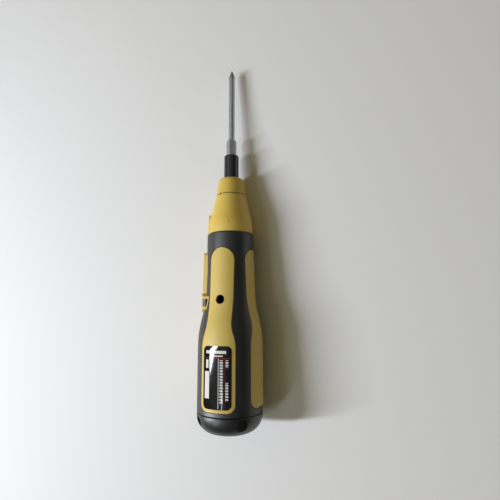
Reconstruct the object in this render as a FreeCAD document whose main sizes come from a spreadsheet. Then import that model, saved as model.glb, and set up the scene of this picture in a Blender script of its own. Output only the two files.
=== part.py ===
import FreeCAD, Part
import math
import os
import Sketcher

# A cordless in-line screwdriver, in millimetres.
# It lies along Y: the butt's flat face is at the origin and the blade points along +Y.
# +Z goes out through the front panel, with the label and the charging inlet.
# -X goes out through the switch. The two shells part on the plane Z = 0.

DIMENSIONS = {
    "Body, along the tool": {
        "cap_length": 13.0,
        "swell_end": 54.2,
        "waist_start": 94.2,
        "collar_start": 119.2,
        "grip_end": 131.7,
        "cone_length": 28.0,
        "ring_length": 12.9,
    },
    "Body, across the tool": {
        "cap_radius": 21.9,
        "swell_radius": 21.85,
        "waist_radius": 16.7,
        "collar_radius": 15.8,
        "cone_radius": 15.35,
        "cone_tip_radius": 10.65,
        "ring_tip_radius": 9.3,
        "ring_face_radius": 6.3,
        "nose_hole_radius": 5.6,
    },
    "Walls and fits": {
        "rubber_thickness": 1.4,
        "shell_wall": 2.0,
        "panel_rise": 0.3,
        "groove_width": 0.3,
        "edge_fillet": 0.45,
        "rubber_rear_round": 0.4,
        "rubber_front_round": 1.0,
        "seam_gap": 0.2,
        "soft_gap": 0.3,
        "running_gap": 0.05,
        "slip_gap": 0.1,
    },
    "Panels": {
        "panel_start": 15.7,
        "panel_corner": 5.0,
        "panel_half_width": 11.7,
        "panel_waist_half": 8.5,
        "side_panel_start": 17.3,
        "side_panel_half_width": 10.6,
        "side_panel_waist_half": 7.9,
        "panel_narrowing": 73.2,
        "panel_round_start": 112.1,
        "label_start": 17.9,
        "label_end": 56.2,
        "label_half_width": 9.6,
        "label_corner": 3.0,
        "label_thickness": 0.22,
    },
    "Switch side": {
        "switch_centre": 83.6,
        "frame_half_length": 6.4,
        "frame_half_width": 13.6,
        "frame_taper": 2.2,
        "frame_taper_start": 9.0,
        "frame_radius": 19.9,
        "mouth_half_length": 4.4,
        "mouth_half_width": 13.0,
        "mouth_taper": 1.8,
        "spine_end": 118.7,
        "spine_half_width": 8.9,
        "spine_corner": 3.0,
        "spine_radius_rear": 19.5,
        "spine_radius_front": 18.75,
        "shoulder_radius": 14.0,
        "shoulder_offset": 2.9,
        "rocker_half_width": 10.8,
        "rocker_play": 0.8,
        "rocker_radius": 19.5,
        "rocker_thickness": 1.9,
        "rocker_stem": 5.2,
        "pivot_depth": 11.6,
        "pivot_radius": 1.0,
        "hub_radius": 2.0,
        "lug_thickness": 1.4,
        "skirt_radius": 15.5,
        "skirt_thickness": 0.8,
        "lug_foot": 1.0,
        "switch_depth": 8.0,
        "switch_half_width": 4.0,
    },
    "Cap": {
        "cap_gap": 0.3,
        "cap_corner": 11.4,
        "cap_floor": 4.5,
        "cap_bore_radius": 18.5,
        "neck_length": 6.0,
        "neck_radius": 17.7,
        "neck_bore_radius": 16.0,
        "seal_section": 1.0,
        "seal_from_seam": 2.6,
        "recess_radius": 3.6,
        "recess_place": 7.6,
        "recess_floor": 19.4,
        "cap_fillet": 3.0,
        "cap_front_round": 0.4,
    },
    "Cone and lock ring": {
        "cone_shoulder_start": 4.5,
        "cone_shoulder_length": 5.0,
        "cone_shoulder_drop": 0.5,
        "cone_shoulder_bend": 24.0,
        "spigot_length": 7.0,
        "flange_radius": 13.4,
        "flange_length": 2.0,
        "flange_place": 3.5,
        "rib_radius_rear": 16.3,
        "rib_radius_front": 15.75,
        "rib_length": 13.9,
        "rib_half_width": 8.4,
        "snout_radius": 7.2,
        "snout_length": 7.5,
        "ring_clip_place": 5.0,
        "ring_clip_section": 0.8,
        "ring_nose_bend": 3.0,
        "ring_nose_length": 2.6,
        "mark_width": 0.9,
        "mark_depth": 0.4,
        "mark_length": 1.1,
        "pit_place": 138.2,
        "pit_angle": 17.0,
        "pit_radius": 0.45,
        "pit_floor_radius": 14.7,
        "lock_turn": 30.0,
    },
    "Charging inlet": {
        "inlet_place": 85.8,
        "inlet_radius": 2.8,
        "inlet_rim": 0.45,
        "inlet_rim_depth": 0.5,
        "jack_radius": 4.4,
        "jack_top": 12.9,
        "jack_depth": 8.5,
        "jack_bore_radius": 2.75,
        "jack_bore_depth": 6.5,
        "jack_pin_radius": 1.0,
        "jack_pin_length": 4.2,
        "jack_seat_wall": 1.2,
        "jack_seat_depth": 3.0,
    },
    "Battery and board": {
        "cell_radius": 7.25,
        "cell_length": 50.0,
        "cell_start": 15.6,
        "cell_gap": 0.2,
        "nub_radius": 2.7,
        "nub_length": 1.0,
        "cage_plate": 1.5,
        "cage_radius": 15.7,
        "cage_rod_radius": 0.9,
        "link_thickness": 0.3,
        "link_width": 5.0,
        "rib_ring_width": 1.6,
        "cell_edge": 0.8,
        "cage_side_radius": 1.4,
        "board_start": 71.4,
        "board_thickness": 1.6,
        "contact_width": 3.6,
        "contact_half_length": 2.6,
        "contact_leg": 0.7,
        "board_part_height": 0.9,
    },
    "Leads": {
        "lead_radius": 0.65,
        "lead_bend": 4.0,
        "lead_board_across": 9.6,
        "lead_board_up": 3.6,
        "lead_board_run": 6.5,
        "lead_motor_across": 7.4,
        "lead_motor_up": 6.6,
        "lead_motor_run": 6.0,
    },
    "Case screws": {
        "screw_place": 76.8,
        "screw_offset": 4.2,
        "screw_radius": 1.0,
        "screw_reach": 9.0,
        "screw_head_radius": 2.0,
        "screw_head_height": 1.6,
        "screw_seat": 13.4,
        "screw_cross_half": 1.4,
        "screw_cross_width": 0.6,
        "screw_cross_depth": 1.0,
        "boss_radius": 2.8,
    },
    "Motor": {
        "motor_start": 92.6,
        "motor_end": 124.2,
        "motor_radius": 12.2,
        "can_wall": 1.0,
        "bell_length": 3.0,
        "bearing_radius": 3.2,
        "bearing_length": 1.6,
        "magnet_thickness": 1.6,
        "magnet_length": 18.0,
        "magnet_span": 130.0,
        "rotor_start": 102.6,
        "rotor_length": 16.0,
        "rotor_radius": 9.0,
        "rotor_core_radius": 3.4,
        "pole_half_width": 1.7,
        "pole_rim": 1.6,
        "commutator_radius": 2.8,
        "commutator_length": 3.6,
        "shaft_radius": 1.0,
        "shaft_inset": 0.6,
        "pole_span": 92.0,
        "coil_thickness": 1.5,
        "brush_half_width": 1.2,
        "terminal_across": 5.4,
        "terminal_up": 8.2,
        "terminal_length": 2.2,
        "terminal_thickness": 0.6,
        "terminal_half_width": 0.9,
    },
    "Gearbox": {
        "gear_module": 0.4,
        "sun_teeth": 12.0,
        "planet_teeth": 18.0,
        "pressure_angle": 20.0,
        "tooth_addendum": 0.9,
        "tooth_dedendum": 1.2,
        "tooth_backlash": 0.07,
        "case_start": 126.7,
        "case_radius": 11.3,
        "first_planets_start": 128.2,
        "second_planets_start": 135.9,
        "sun_bore_radius": 0.6,
        "planet_width": 4.6,
        "carrier_thickness": 2.0,
        "carrier_radius": 8.8,
        "planet_pin_radius": 1.0,
        "case_wall": 2.4,
        "case_neck_radius": 7.6,
        "case_neck_length": 10.0,
        "rear_bush_radius": 6.0,
        "rear_bush_length": 8.6,
    },
    "Spindle and bit": {
        "spindle_start": 141.1,
        "spindle_end": 190.7,
        "spindle_tail_radius": 3.0,
        "spindle_shaft_radius": 4.0,
        "spindle_head_start": 159.6,
        "spindle_head_radius": 5.3,
        "spindle_rim": 1.3,
        "front_bush_start": 160.4,
        "front_bush_length": 6.4,
        "front_bush_radius": 6.2,
        "clip_thickness": 0.8,
        "clip_radius": 5.6,
        "clip_groove_depth": 0.6,
        "hex_across_flats": 6.35,
        "hex_clearance": 0.1,
        "socket_depth": 12.5,
        "magnet_radius": 2.5,
        "magnet_height": 3.0,
        "bit_gap": 0.4,
        "bit_length": 80.0,
        "bit_hex_length": 23.1,
        "bit_hex_chamfer": 2.0,
        "blade_radius": 2.25,
        "blade_taper": 4.9,
        "blade_tip_radius": 0.45,
        "bit_end_chamfer": 0.8,
        "flute_web": 0.34,
        "flute_tilt": 14.5,
        "flute_size": 6.0,
        "bit_turn": 30.0,
    },
}

SHEET_NAME = "Dimensions"
DOCUMENT = FreeCAD.newDocument("screwdriver")
SHEET = DOCUMENT.addObject("Spreadsheet::Sheet", SHEET_NAME)

VECTOR = FreeCAD.Vector
ALONG_X = VECTOR(1, 0, 0)
ALONG_Y = VECTOR(0, 1, 0)
ALONG_Z = VECTOR(0, 0, 1)
UPRIGHT = FreeCAD.Rotation()
LYING = FreeCAD.Rotation(ALONG_X, -90)
GEAR_WAY = FreeCAD.Rotation(VECTOR(0, 1, 1), 180)


class Size:
    """A size with its value and the sheet formula that it comes from."""

    def __init__(self, value, formula):
        self.value = float(value)
        self.formula = formula

    def joined(self, other, sign, value):
        return Size(value, f"({self.formula} {sign} {as_size(other).formula})")

    def __add__(self, other):
        return self.joined(other, "+", self.value + as_size(other).value)

    def __sub__(self, other):
        return self.joined(other, "-", self.value - as_size(other).value)

    def __mul__(self, other):
        return self.joined(other, "*", self.value * as_size(other).value)

    def __truediv__(self, other):
        return self.joined(other, "/", self.value / as_size(other).value)

    def __neg__(self):
        return Size(-self.value, f"(0 - {self.formula})")

    def __radd__(self, other):
        return as_size(other) + self

    def __rsub__(self, other):
        return as_size(other) - self

    def __rmul__(self, other):
        return as_size(other) * self


def as_size(number):
    return number if isinstance(number, Size) else Size(number, repr(float(number)))


def square_root(size):
    return Size(math.sqrt(size.value), f"sqrt({size.formula})")


def cosine(degrees):
    degrees = as_size(degrees)
    return Size(math.cos(math.radians(degrees.value)), f"cos({degrees.formula})")


def sine(degrees):
    degrees = as_size(degrees)
    return Size(math.sin(math.radians(degrees.value)), f"sin({degrees.formula})")


def reach(radius, aside):
    """Height of a circle of this radius at this distance from its middle."""
    return square_root(radius * radius - aside * aside)


class Sizes:
    """The driving dimensions, one attribute for each cell of the sheet."""

    def __init__(self):
        row = 1
        for group, cells in DIMENSIONS.items():
            SHEET.set(f"A{row}", group)
            for alias, value in cells.items():
                row += 1
                SHEET.set(f"A{row}", alias.replace("_", " "))
                SHEET.set(f"B{row}", str(value))
                SHEET.setAlias(f"B{row}", alias)
                setattr(self, alias, Size(value, f"{SHEET_NAME}.{alias}"))
            row += 2
        DOCUMENT.recompute()


d = Sizes()
ZERO = as_size(0)
PAST = 1
OUTSIDE = d.swell_radius + 8 * PAST
SWITCH_SIDE = -90
FIRST_MARK = -20
POLES = 3
RIB_PLACES = (0.3, 0.7)
BOARD_PARTS = (
    (-9.0, 1.5, 5.0, 4.0),
    (5.0, 8.0, 3.4, 3.4),
    (6.6, -9.4, 4.2, 3.0),
    (-5.0, -9.0, 2.4, 4.4),
)


def bind(thing, name, size):
    """Sets a property and ties it to its formula."""
    setattr(thing, name, size.value)
    thing.setExpression(name, size.formula)


def place(thing, x=ZERO, y=ZERO, z=ZERO, turned_by=UPRIGHT):
    """Puts a piece at a point whose coordinates stay tied to the sheet."""
    spots = {"x": as_size(x), "y": as_size(y), "z": as_size(z)}
    base = VECTOR(*(spot.value for spot in spots.values()))
    thing.Placement = FreeCAD.Placement(base, turned_by)
    for name, spot in spots.items():
        if spot is not ZERO:
            thing.setExpression(f".Placement.Base.{name}", spot.formula)
    return thing


def add(kind, name, **sizes):
    """Adds an object and ties its sizes to the sheet."""
    thing = DOCUMENT.addObject(kind, name)
    for size_name, size in sizes.items():
        bind(thing, size_name, as_size(size))
    return thing


def rod(name, radius, length, x=ZERO, y=ZERO, z=ZERO):
    """A round rod along Y that starts at the point."""
    return place(add("Part::Cylinder", name, Radius=radius, Height=length), x, y, z, LYING)


def post(name, radius, length, x=ZERO, y=ZERO, z=ZERO):
    """A round post along Z that starts at the point."""
    return place(add("Part::Cylinder", name, Radius=radius, Height=length), x, y, z)


def hexagon_rod(name, across_flats, length, y, turn=0):
    """A hexagon rod along Y, turned by an angle about its own length."""
    thing = add("Part::Prism", name, Circumradius=across_flats / math.sqrt(3), Height=length)
    thing.Polygon = 6
    return place(thing, ZERO, y, ZERO, FreeCAD.Rotation(ALONG_Y, turn).multiply(LYING))


def box(name, low, high):
    """A box between two corners."""
    spans = [as_size(top) - as_size(bottom) for bottom, top in zip(low, high)]
    thing = add("Part::Box", name, Length=spans[0], Width=spans[1], Height=spans[2])
    return place(thing, *low)


def joined(name, pieces):
    thing = DOCUMENT.addObject("Part::MultiFuse", name)
    thing.Shapes = pieces
    return thing


def cut(name, base, tool):
    thing = DOCUMENT.addObject("Part::Cut", name)
    thing.Base = base
    thing.Tool = tool
    return thing


def shared(name, base, tool):
    thing = DOCUMENT.addObject("Part::Common", name)
    thing.Base = base
    thing.Tool = tool
    return thing


def grouped(name, pieces):
    """Separate solids that share one node."""
    thing = DOCUMENT.addObject("Part::Compound", name)
    thing.Links = pieces
    return thing


def shaped(name, shape, x=ZERO, y=ZERO, z=ZERO, turned_by=UPRIGHT):
    """A piece whose shape no ready feature gives."""
    thing = DOCUMENT.addObject("Part::Feature", name)
    thing.Shape = shape
    return place(thing, x, y, z, turned_by)


def origin_plane(body, role):
    return next(plane for plane in body.Origin.OriginFeatures if plane.Role == role)


def pin_corner(sketch, edge, end, across, along):
    """Ties one corner of an outline to its two sizes."""
    for kind, size, axis in (("DistanceX", across, -2), ("DistanceY", along, -1)):
        if abs(size.value) < 1e-9:
            sketch.addConstraint(Sketcher.Constraint("PointOnObject", edge, end, axis))
        elif size.value > 0:
            index = sketch.addConstraint(Sketcher.Constraint(kind, -1, 1, edge, end, size.value))
            sketch.setExpression(f"Constraints[{index}]", size.formula)
        else:
            index = sketch.addConstraint(Sketcher.Constraint(kind, edge, end, -1, 1, -size.value))
            sketch.setExpression(f"Constraints[{index}]", (-size).formula)


def arc_between(start, end, bend):
    """The short arc from start to end, to the left for a positive bend radius."""
    chord = end - start
    side = VECTOR(-chord.y, chord.x, 0).normalize() * math.copysign(1, bend)
    drop = math.sqrt(max(bend * bend - chord.Length ** 2 / 4, 0))
    centre = (start + end) * 0.5 + side * drop
    first, last = (start, end) if bend > 0 else (end, start)
    angles = [math.atan2(point.y - centre.y, point.x - centre.x) for point in (first, last)]
    return Part.ArcOfCircle(Part.Circle(centre, ALONG_Z, abs(bend)), angles[0], angles[1])


def outline(body, name, corners, role="XY_Plane"):
    """A closed outline. A corner is (across, along), and a third value is the radius of the
    arc that leaves it, positive where the outline turns left there."""
    sketch = body.newObject("Sketcher::SketchObject", name)
    sketch.AttachmentSupport = [(origin_plane(body, role), "")]
    sketch.MapMode = "FlatFace"
    corners = [tuple(as_size(value) for value in corner) for corner in corners]
    spots = [VECTOR(corner[0].value, corner[1].value, 0) for corner in corners]
    ends = []
    for index, corner in enumerate(corners):
        start = spots[index]
        finish = spots[(index + 1) % len(spots)]
        if len(corner) == 2:
            sketch.addGeometry(Part.LineSegment(start, finish))
            ends.append((1, 2))
            continue
        bend = corner[2]
        sketch.addGeometry(arc_between(start, finish, bend.value))
        radius = bend if bend.value > 0 else -bend
        tie = sketch.addConstraint(Sketcher.Constraint("Radius", index, radius.value))
        sketch.setExpression(f"Constraints[{tie}]", radius.formula)
        ends.append((1, 2) if bend.value > 0 else (2, 1))
    for index, corner in enumerate(corners):
        after = (index + 1) % len(corners)
        sketch.addConstraint(Sketcher.Constraint("Coincident", index, ends[index][1], after, ends[after][0]))
        pin_corner(sketch, index, ends[index][0], corner[0], corner[1])
    return sketch


def turned(name, corners):
    """A body turned on the tool's axis: its corners are (radius, place along the tool)."""
    body = DOCUMENT.addObject("PartDesign::Body", name)
    turning = body.newObject("PartDesign::Revolution", name + "_turning")
    turning.Profile = outline(body, name + "_profile", corners)
    turning.ReferenceAxis = (turning.Profile[0], ["V_Axis"])
    turning.Angle = 360
    body.Tip = turning
    return body


def ring_band(name, inner, outer, start, end):
    """A plain ring round the tool's axis."""
    return turned(name, [(inner, start), (outer, start), (outer, end), (inner, end)])


def padded(name, corners, depth, turn=0):
    """An outline on the plane Z = 0, padded outwards, then turned about the tool's axis."""
    body = DOCUMENT.addObject("PartDesign::Body", name)
    pad = body.newObject("PartDesign::Pad", name + "_pad")
    pad.Profile = outline(body, name + "_outline", corners)
    bind(pad, "Length", depth)
    body.Tip = pad
    body.Placement = FreeCAD.Placement(VECTOR(), FreeCAD.Rotation(ALONG_Y, turn))
    return body


def grip_line(swell, waist, collar, start, end):
    """The outer line of the handle: swell, S-bend, waist and collar."""
    length = d.waist_start - d.swell_end
    drop = swell - waist
    bend = (length * length + drop * drop) / (4 * drop)
    middle = (swell + waist) / 2
    return [
        (swell, start),
        (swell, d.swell_end, bend),
        (middle, (d.swell_end + d.waist_start) / 2, -bend),
        (waist, d.waist_start),
        (collar, d.collar_start),
        (collar, end),
    ]


def grip_solid(name, rise, start, end):
    """A solid handle whose skin lies this far outside the rubber."""
    line = grip_line(d.swell_radius + rise, d.waist_radius + rise, d.collar_radius + rise, start, end)
    return turned(name, [(ZERO, start)] + line + [(ZERO, end)])


def rounded_ends(line, rear, front):
    """The same outer line with its two ends rounded inwards."""
    (first_radius, start), (last_radius, end) = line[0], line[-1]
    return [
        (first_radius - rear, start, rear),
        (first_radius, start + rear),
        *line[1:-1],
        (last_radius, end - front, front),
        (last_radius - front, end),
    ]


def grip_layer(name, rise, thickness, start, end, rounds=None):
    """A layer of the handle with this thickness, its skin this far outside the rubber.
    The rounds are the radii of its rear and front edges."""
    swell, waist, collar = (radius + rise for radius in (d.swell_radius, d.waist_radius, d.collar_radius))
    line = grip_line(swell, waist, collar, start, end)
    low = grip_line(swell - thickness, waist - thickness, collar - thickness, start, end)
    back = [
        low[5],
        low[4],
        (low[3][0], low[3][1], -low[2][2]),
        (low[2][0], low[2][1], -low[1][2]),
        (low[1][0], low[1][1]),
        low[0],
    ]
    if rounds:
        line = rounded_ends(line, *rounds)
    return turned(name, line + back)


def panel_outline(grow, half_width, waist_half, rear):
    """The space between two rubber strips, wide at the swell and narrow at the waist."""
    wide = half_width + grow
    narrow = waist_half + grow
    corner = d.panel_corner + grow
    start = rear - grow
    drop = half_width - waist_half
    length = d.panel_narrowing - d.swell_end
    bend = (length * length + drop * drop) / (4 * drop)
    middle = (d.swell_end + d.panel_narrowing) / 2
    right = [
        (wide - corner, start, corner),
        (wide, start + corner),
        (wide, d.swell_end, bend),
        ((wide + narrow) / 2, middle, -bend),
        (narrow, d.panel_narrowing),
        (narrow, d.panel_round_start, narrow),
    ]
    left = [
        (ZERO, d.panel_round_start + narrow, narrow),
        (-narrow, d.panel_round_start),
        (-narrow, d.panel_narrowing, -bend),
        (-(wide + narrow) / 2, middle, bend),
        (-wide, d.swell_end),
        (-wide, start + corner, corner),
        (-(wide - corner), start),
    ]
    return right + left


def wide_panel(grow):
    return panel_outline(grow, d.panel_half_width, d.panel_waist_half, d.panel_start)


def side_panel(grow):
    return panel_outline(grow, d.side_panel_half_width, d.side_panel_waist_half, d.side_panel_start)


def switch_panel(grow):
    """The panel behind the switch: like the one across from it, and cut square under the switch."""
    whole = side_panel(grow)
    right = whole[:5] + [(d.side_panel_waist_half + grow, d.switch_centre)]
    left = [(-(d.side_panel_waist_half + grow), d.switch_centre)] + whole[8:]
    return right + left


def panels():
    """Name, outline and turn of every panel."""
    return (("front_panel", wide_panel, 0), ("right_panel", side_panel, 90),
            ("back_panel", wide_panel, 180), ("switch_panel", switch_panel, SWITCH_SIDE))


def spine_outline(grow):
    wide = d.spine_half_width + grow
    end = d.spine_end + grow
    corner = d.spine_corner + grow
    return [
        (-wide, d.switch_centre),
        (wide, d.switch_centre),
        (wide, end - corner, corner),
        (wide - corner, end),
        (-(wide - corner), end, corner),
        (-wide, end - corner),
    ]


def tapered_outline(half_width, half_length, taper_start, taper):
    """The switch's long eight-sided shape, which narrows towards both its ends."""
    low = d.switch_centre - half_length
    high = d.switch_centre + half_length
    return [
        (-taper_start, low),
        (taper_start, low),
        (half_width, low + taper),
        (half_width, high - taper),
        (taper_start, high),
        (-taper_start, high),
        (-half_width, high - taper),
        (-half_width, low + taper),
    ]


def rounded_outline(half_width, start, end, corner):
    return [
        (-(half_width - corner), start),
        (half_width - corner, start, corner),
        (half_width, start + corner),
        (half_width, end - corner, corner),
        (half_width - corner, end),
        (-(half_width - corner), end, corner),
        (-half_width, end - corner),
        (-half_width, start + corner, corner),
    ]


def is_wall(face, spot, outward):
    """True where the face stands along the direction in which its outline was padded."""
    across = face.normalAt(*face.Surface.parameter(spot))
    return abs(across.dot(outward)) < 1e-4


def rim_edges(shape, outward):
    """Names of the edges between the padded walls and the skin on top of them."""
    names = []
    for number, edge in enumerate(shape.Edges, start=1):
        spot = edge.valueAt((edge.FirstParameter + edge.LastParameter) / 2)
        faces = shape.ancestorsOfType(edge, Part.Face)
        walls = [is_wall(face, spot, outward) for face in faces]
        if spot.dot(outward) > 1 and len(faces) == 2 and walls.count(True) == 1:
            names.append(f"Edge{number}")
    return names


def raised_pad(name, corners, skin, turn):
    """A panel that is padded outwards and trimmed to a skin, with a rounded rim.
    The skin is the closed line of what is cut away round the tool's axis."""
    body = padded(name, corners, OUTSIDE)
    trim = body.newObject("PartDesign::Groove", name + "_trim")
    trim.Profile = outline(body, name + "_skin", skin)
    trim.ReferenceAxis = (trim.Profile[0], ["V_Axis"])
    trim.Angle = 360
    body.Tip = trim
    DOCUMENT.recompute()
    rim = body.newObject("PartDesign::Fillet", name + "_rim")
    rim.Base = (trim, rim_edges(trim.Shape, ALONG_Z))
    bind(rim, "Radius", d.edge_fillet)
    body.Tip = rim
    body.Placement = FreeCAD.Placement(VECTOR(), FreeCAD.Rotation(ALONG_Y, turn))
    return body


def outside_of(line):
    """What lies outside a line along the tool, as a closed line for a trim."""
    far = OUTSIDE * 2
    return [(far, line[-1][1]), (far, line[0][1])] + line


def panel_skin():
    radii = (d.swell_radius, d.waist_radius, d.collar_radius)
    swell, waist, collar = (radius + d.panel_rise for radius in radii)
    return outside_of(grip_line(swell, waist, collar, ZERO, d.grip_end + d.cap_length))


def spine_skin():
    rear = d.switch_centre - d.frame_half_length
    line = [(d.spine_radius_rear, rear), (d.spine_radius_front, d.spine_end + d.frame_half_length)]
    return outside_of(line)


def build_shell_blank():
    """Both shells in one, before they are parted."""
    base = grip_layer("shell_tube", -d.rubber_thickness, d.shell_wall, d.cap_length, d.grip_end)
    pads = [raised_pad(name, shape(ZERO), panel_skin(), turn) for name, shape, turn in panels()]
    pads.append(raised_pad("spine", spine_outline(ZERO), spine_skin(), SWITCH_SIDE))
    frame_line = [(d.frame_radius, d.switch_centre - 2 * d.frame_half_length),
                  (d.frame_radius, d.switch_centre + 2 * d.frame_half_length)]
    frame_shape = tapered_outline(d.frame_half_width, d.frame_half_length, d.frame_taper_start, d.frame_taper)
    pads.append(raised_pad("switch_frame", frame_shape, outside_of(frame_line), SWITCH_SIDE))
    inside = grip_solid("shell_inside", -(d.rubber_thickness + d.shell_wall), ZERO, d.grip_end + PAST)
    raised = cut("raised_parts", joined("raised_pads", pads), inside)
    seam = d.cap_length
    neck_start = seam - d.neck_length
    seal_place = seam - d.seal_from_seam
    seal_half = d.seal_section / 2 + d.soft_gap
    groove_radius = d.neck_radius - d.seal_section / 2 - d.soft_gap
    neck = turned("cap_neck", [
        (d.neck_bore_radius, neck_start),
        (d.neck_radius, neck_start),
        (d.neck_radius, seal_place - seal_half),
        (groove_radius, seal_place - seal_half),
        (groove_radius, seal_place + seal_half),
        (d.neck_radius, seal_place + seal_half),
        (d.neck_radius, seam + d.shell_wall),
        (d.neck_bore_radius, seam + d.shell_wall),
    ])
    inside_wall = d.swell_radius - d.rubber_thickness - d.shell_wall / 2
    rear_wall = ring_band("rear_wall", d.neck_bore_radius, inside_wall, seam, seam + d.shell_wall)
    ribs = []
    for number, share in enumerate(RIB_PLACES):
        middle = d.cell_start + d.cell_length * share
        ribs.append(ring_band(f"battery_rib_{number}", d.cage_radius + d.soft_gap, inside_wall,
                              middle - d.rib_ring_width / 2, middle + d.rib_ring_width / 2))
    return joined("shell_blank", [base, raised, neck, rear_wall] + ribs)


def build_shells():
    blank = build_shell_blank()
    flange_start = d.grip_end - d.flange_place - d.slip_gap
    holes = [
        padded("switch_mouth", tapered_outline(d.mouth_half_width, d.mouth_half_length,
                                               d.frame_taper_start, d.mouth_taper),
               OUTSIDE, SWITCH_SIDE),
        ring_band("flange_groove", d.case_radius, d.flange_radius + d.slip_gap,
                  flange_start, flange_start + d.flange_length + 2 * d.slip_gap),
    ]
    channel_end = box("channel", (-OUTSIDE, d.switch_centre - d.mouth_half_length + d.mouth_taper,
                                  -(d.frame_half_width + PAST)),
                      (ZERO, d.switch_centre + d.mouth_half_length - d.mouth_taper,
                       d.frame_half_width + PAST))
    above = cut("channel_above_rubber", channel_end,
                grip_solid("channel_floor", ZERO, d.cap_length, d.grip_end))
    holes.append(above)
    opened = cut("shell_opened", blank, joined("shell_holes", holes))
    halves = {}
    for side, sign in (("front", 1), ("back", -1)):
        low = ZERO if sign > 0 else -OUTSIDE
        high = OUTSIDE if sign > 0 else ZERO
        half_space = box(f"{side}_half", (-OUTSIDE, ZERO, low), (OUTSIDE, d.grip_end + 1, high))
        half = shared(f"{side}_shell_half", opened, half_space)
        bosses = build_bosses(side, sign)
        if side == "front":
            seat_start = d.jack_top - d.jack_seat_depth
            bosses.append(post("inlet_boss", d.jack_radius + d.jack_seat_wall,
                               wall_radius(d.inlet_place) - seat_start, ZERO, d.inlet_place, seat_start))
        halves[side] = joined(f"{side}_shell_bossed", [half] + bosses)
    skin = wall_radius(d.inlet_place) + d.shell_wall / 2 + d.rubber_thickness + d.panel_rise
    inlet = [
        post("inlet_rim_step", d.inlet_radius + d.inlet_rim, OUTSIDE, ZERO, d.inlet_place,
             skin - d.inlet_rim_depth),
        post("inlet_hole", d.inlet_radius, OUTSIDE, ZERO, d.inlet_place, ZERO),
        post("inlet_seat", d.jack_radius + d.running_gap, d.jack_top, ZERO, d.inlet_place, ZERO),
    ]
    front = cut("front_shell", halves["front"], joined("front_holes", screw_holes("front") + inlet))
    back = cut("back_shell", halves["back"], joined("back_holes", screw_holes("back")))
    return front, back


def build_bosses(side, sign):
    """Two screw bosses of one shell, from its wall to the parting plane."""
    skin = reach(wall_radius(d.screw_place), d.screw_offset)
    bosses = []
    for number, across in enumerate((-d.screw_offset, d.screw_offset)):
        low = d.slip_gap / 2 if sign > 0 else -skin
        high = skin if sign > 0 else -d.slip_gap / 2
        bosses.append(post(f"{side}_boss_{number}", d.boss_radius, high - low, across, d.screw_place, low))
    return bosses


def wall_radius(along):
    """Radius of the middle of the shell's wall at a place on the S-bend."""
    length = d.waist_start - d.swell_end
    drop = d.swell_radius - d.waist_radius
    bend = (length * length + drop * drop) / (4 * drop)
    middle = (d.swell_end + d.waist_start) / 2
    depth = d.rubber_thickness + d.shell_wall / 2
    if along.value < middle.value:
        return d.swell_radius - (bend - reach(bend, along - d.swell_end)) - depth
    return d.waist_radius + (bend - reach(bend, d.waist_start - along)) - depth


def screw_holes(side):
    holes = []
    for number, across in enumerate((-d.screw_offset, d.screw_offset)):
        if side == "front":
            holes.append(post(f"pilot_hole_{number}", d.screw_radius + d.running_gap,
                              d.screw_reach + PAST, across, d.screw_place, ZERO))
            continue
        holes.append(post(f"screw_hole_{number}", d.screw_radius + d.slip_gap,
                          OUTSIDE, across, d.screw_place, -OUTSIDE))
        holes.append(post(f"head_hole_{number}", d.screw_head_radius + d.slip_gap,
                          OUTSIDE - d.screw_seat, across, d.screw_place, -OUTSIDE))
    return holes


def build_grips():
    """The rubber, cut out round the panels, the spine and the switch frame, and parted like the shells."""
    groove = d.groove_width
    rounds = (d.rubber_rear_round, d.rubber_front_round)
    layer = grip_layer("rubber_tube", ZERO, d.rubber_thickness, d.cap_length, d.grip_end, rounds)
    shoulder = turned("rubber_shoulder", [
        (ZERO, d.switch_centre + d.frame_half_length),
        (d.shoulder_radius, d.switch_centre + d.frame_half_length),
        (d.shoulder_radius, d.grip_end - d.rubber_front_round, d.rubber_front_round),
        (d.shoulder_radius - d.rubber_front_round, d.grip_end),
        (ZERO, d.grip_end),
    ])
    place(shoulder, -d.shoulder_offset)
    core = grip_solid("rubber_core", -d.rubber_thickness, ZERO, d.grip_end + PAST)
    raised = cut("raised_rubber", shoulder, core)
    blank = joined("rubber_blank", [layer, raised])
    windows = [padded(f"{name}_window", shape(groove), OUTSIDE, turn) for name, shape, turn in panels()]
    windows.append(padded("spine_window", spine_outline(groove), OUTSIDE, SWITCH_SIDE))
    frame_shape = tapered_outline(d.frame_half_width + groove, d.frame_half_length + groove,
                                  d.frame_taper_start, d.frame_taper)
    windows.append(padded("frame_window", frame_shape, OUTSIDE, SWITCH_SIDE))
    opened = cut("rubber_opened", blank, joined("rubber_windows", windows))
    halves = []
    for side, low, high in (("front", ZERO, OUTSIDE), ("back", -OUTSIDE, ZERO)):
        half_space = box(f"{side}_rubber_half", (-OUTSIDE, ZERO, low), (OUTSIDE, d.grip_end + 1, high))
        halves.append(shared(f"{side}_grip", opened, half_space))
    return halves


def build_label():
    skin = grip_layer("label_layer", d.panel_rise + d.label_thickness, d.label_thickness,
                      d.cap_length, d.grip_end)
    shape = padded("label_shape", rounded_outline(d.label_half_width, d.label_start, d.label_end,
                                                  d.label_corner), OUTSIDE)
    return shared("label_plate", skin, shape)


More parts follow.
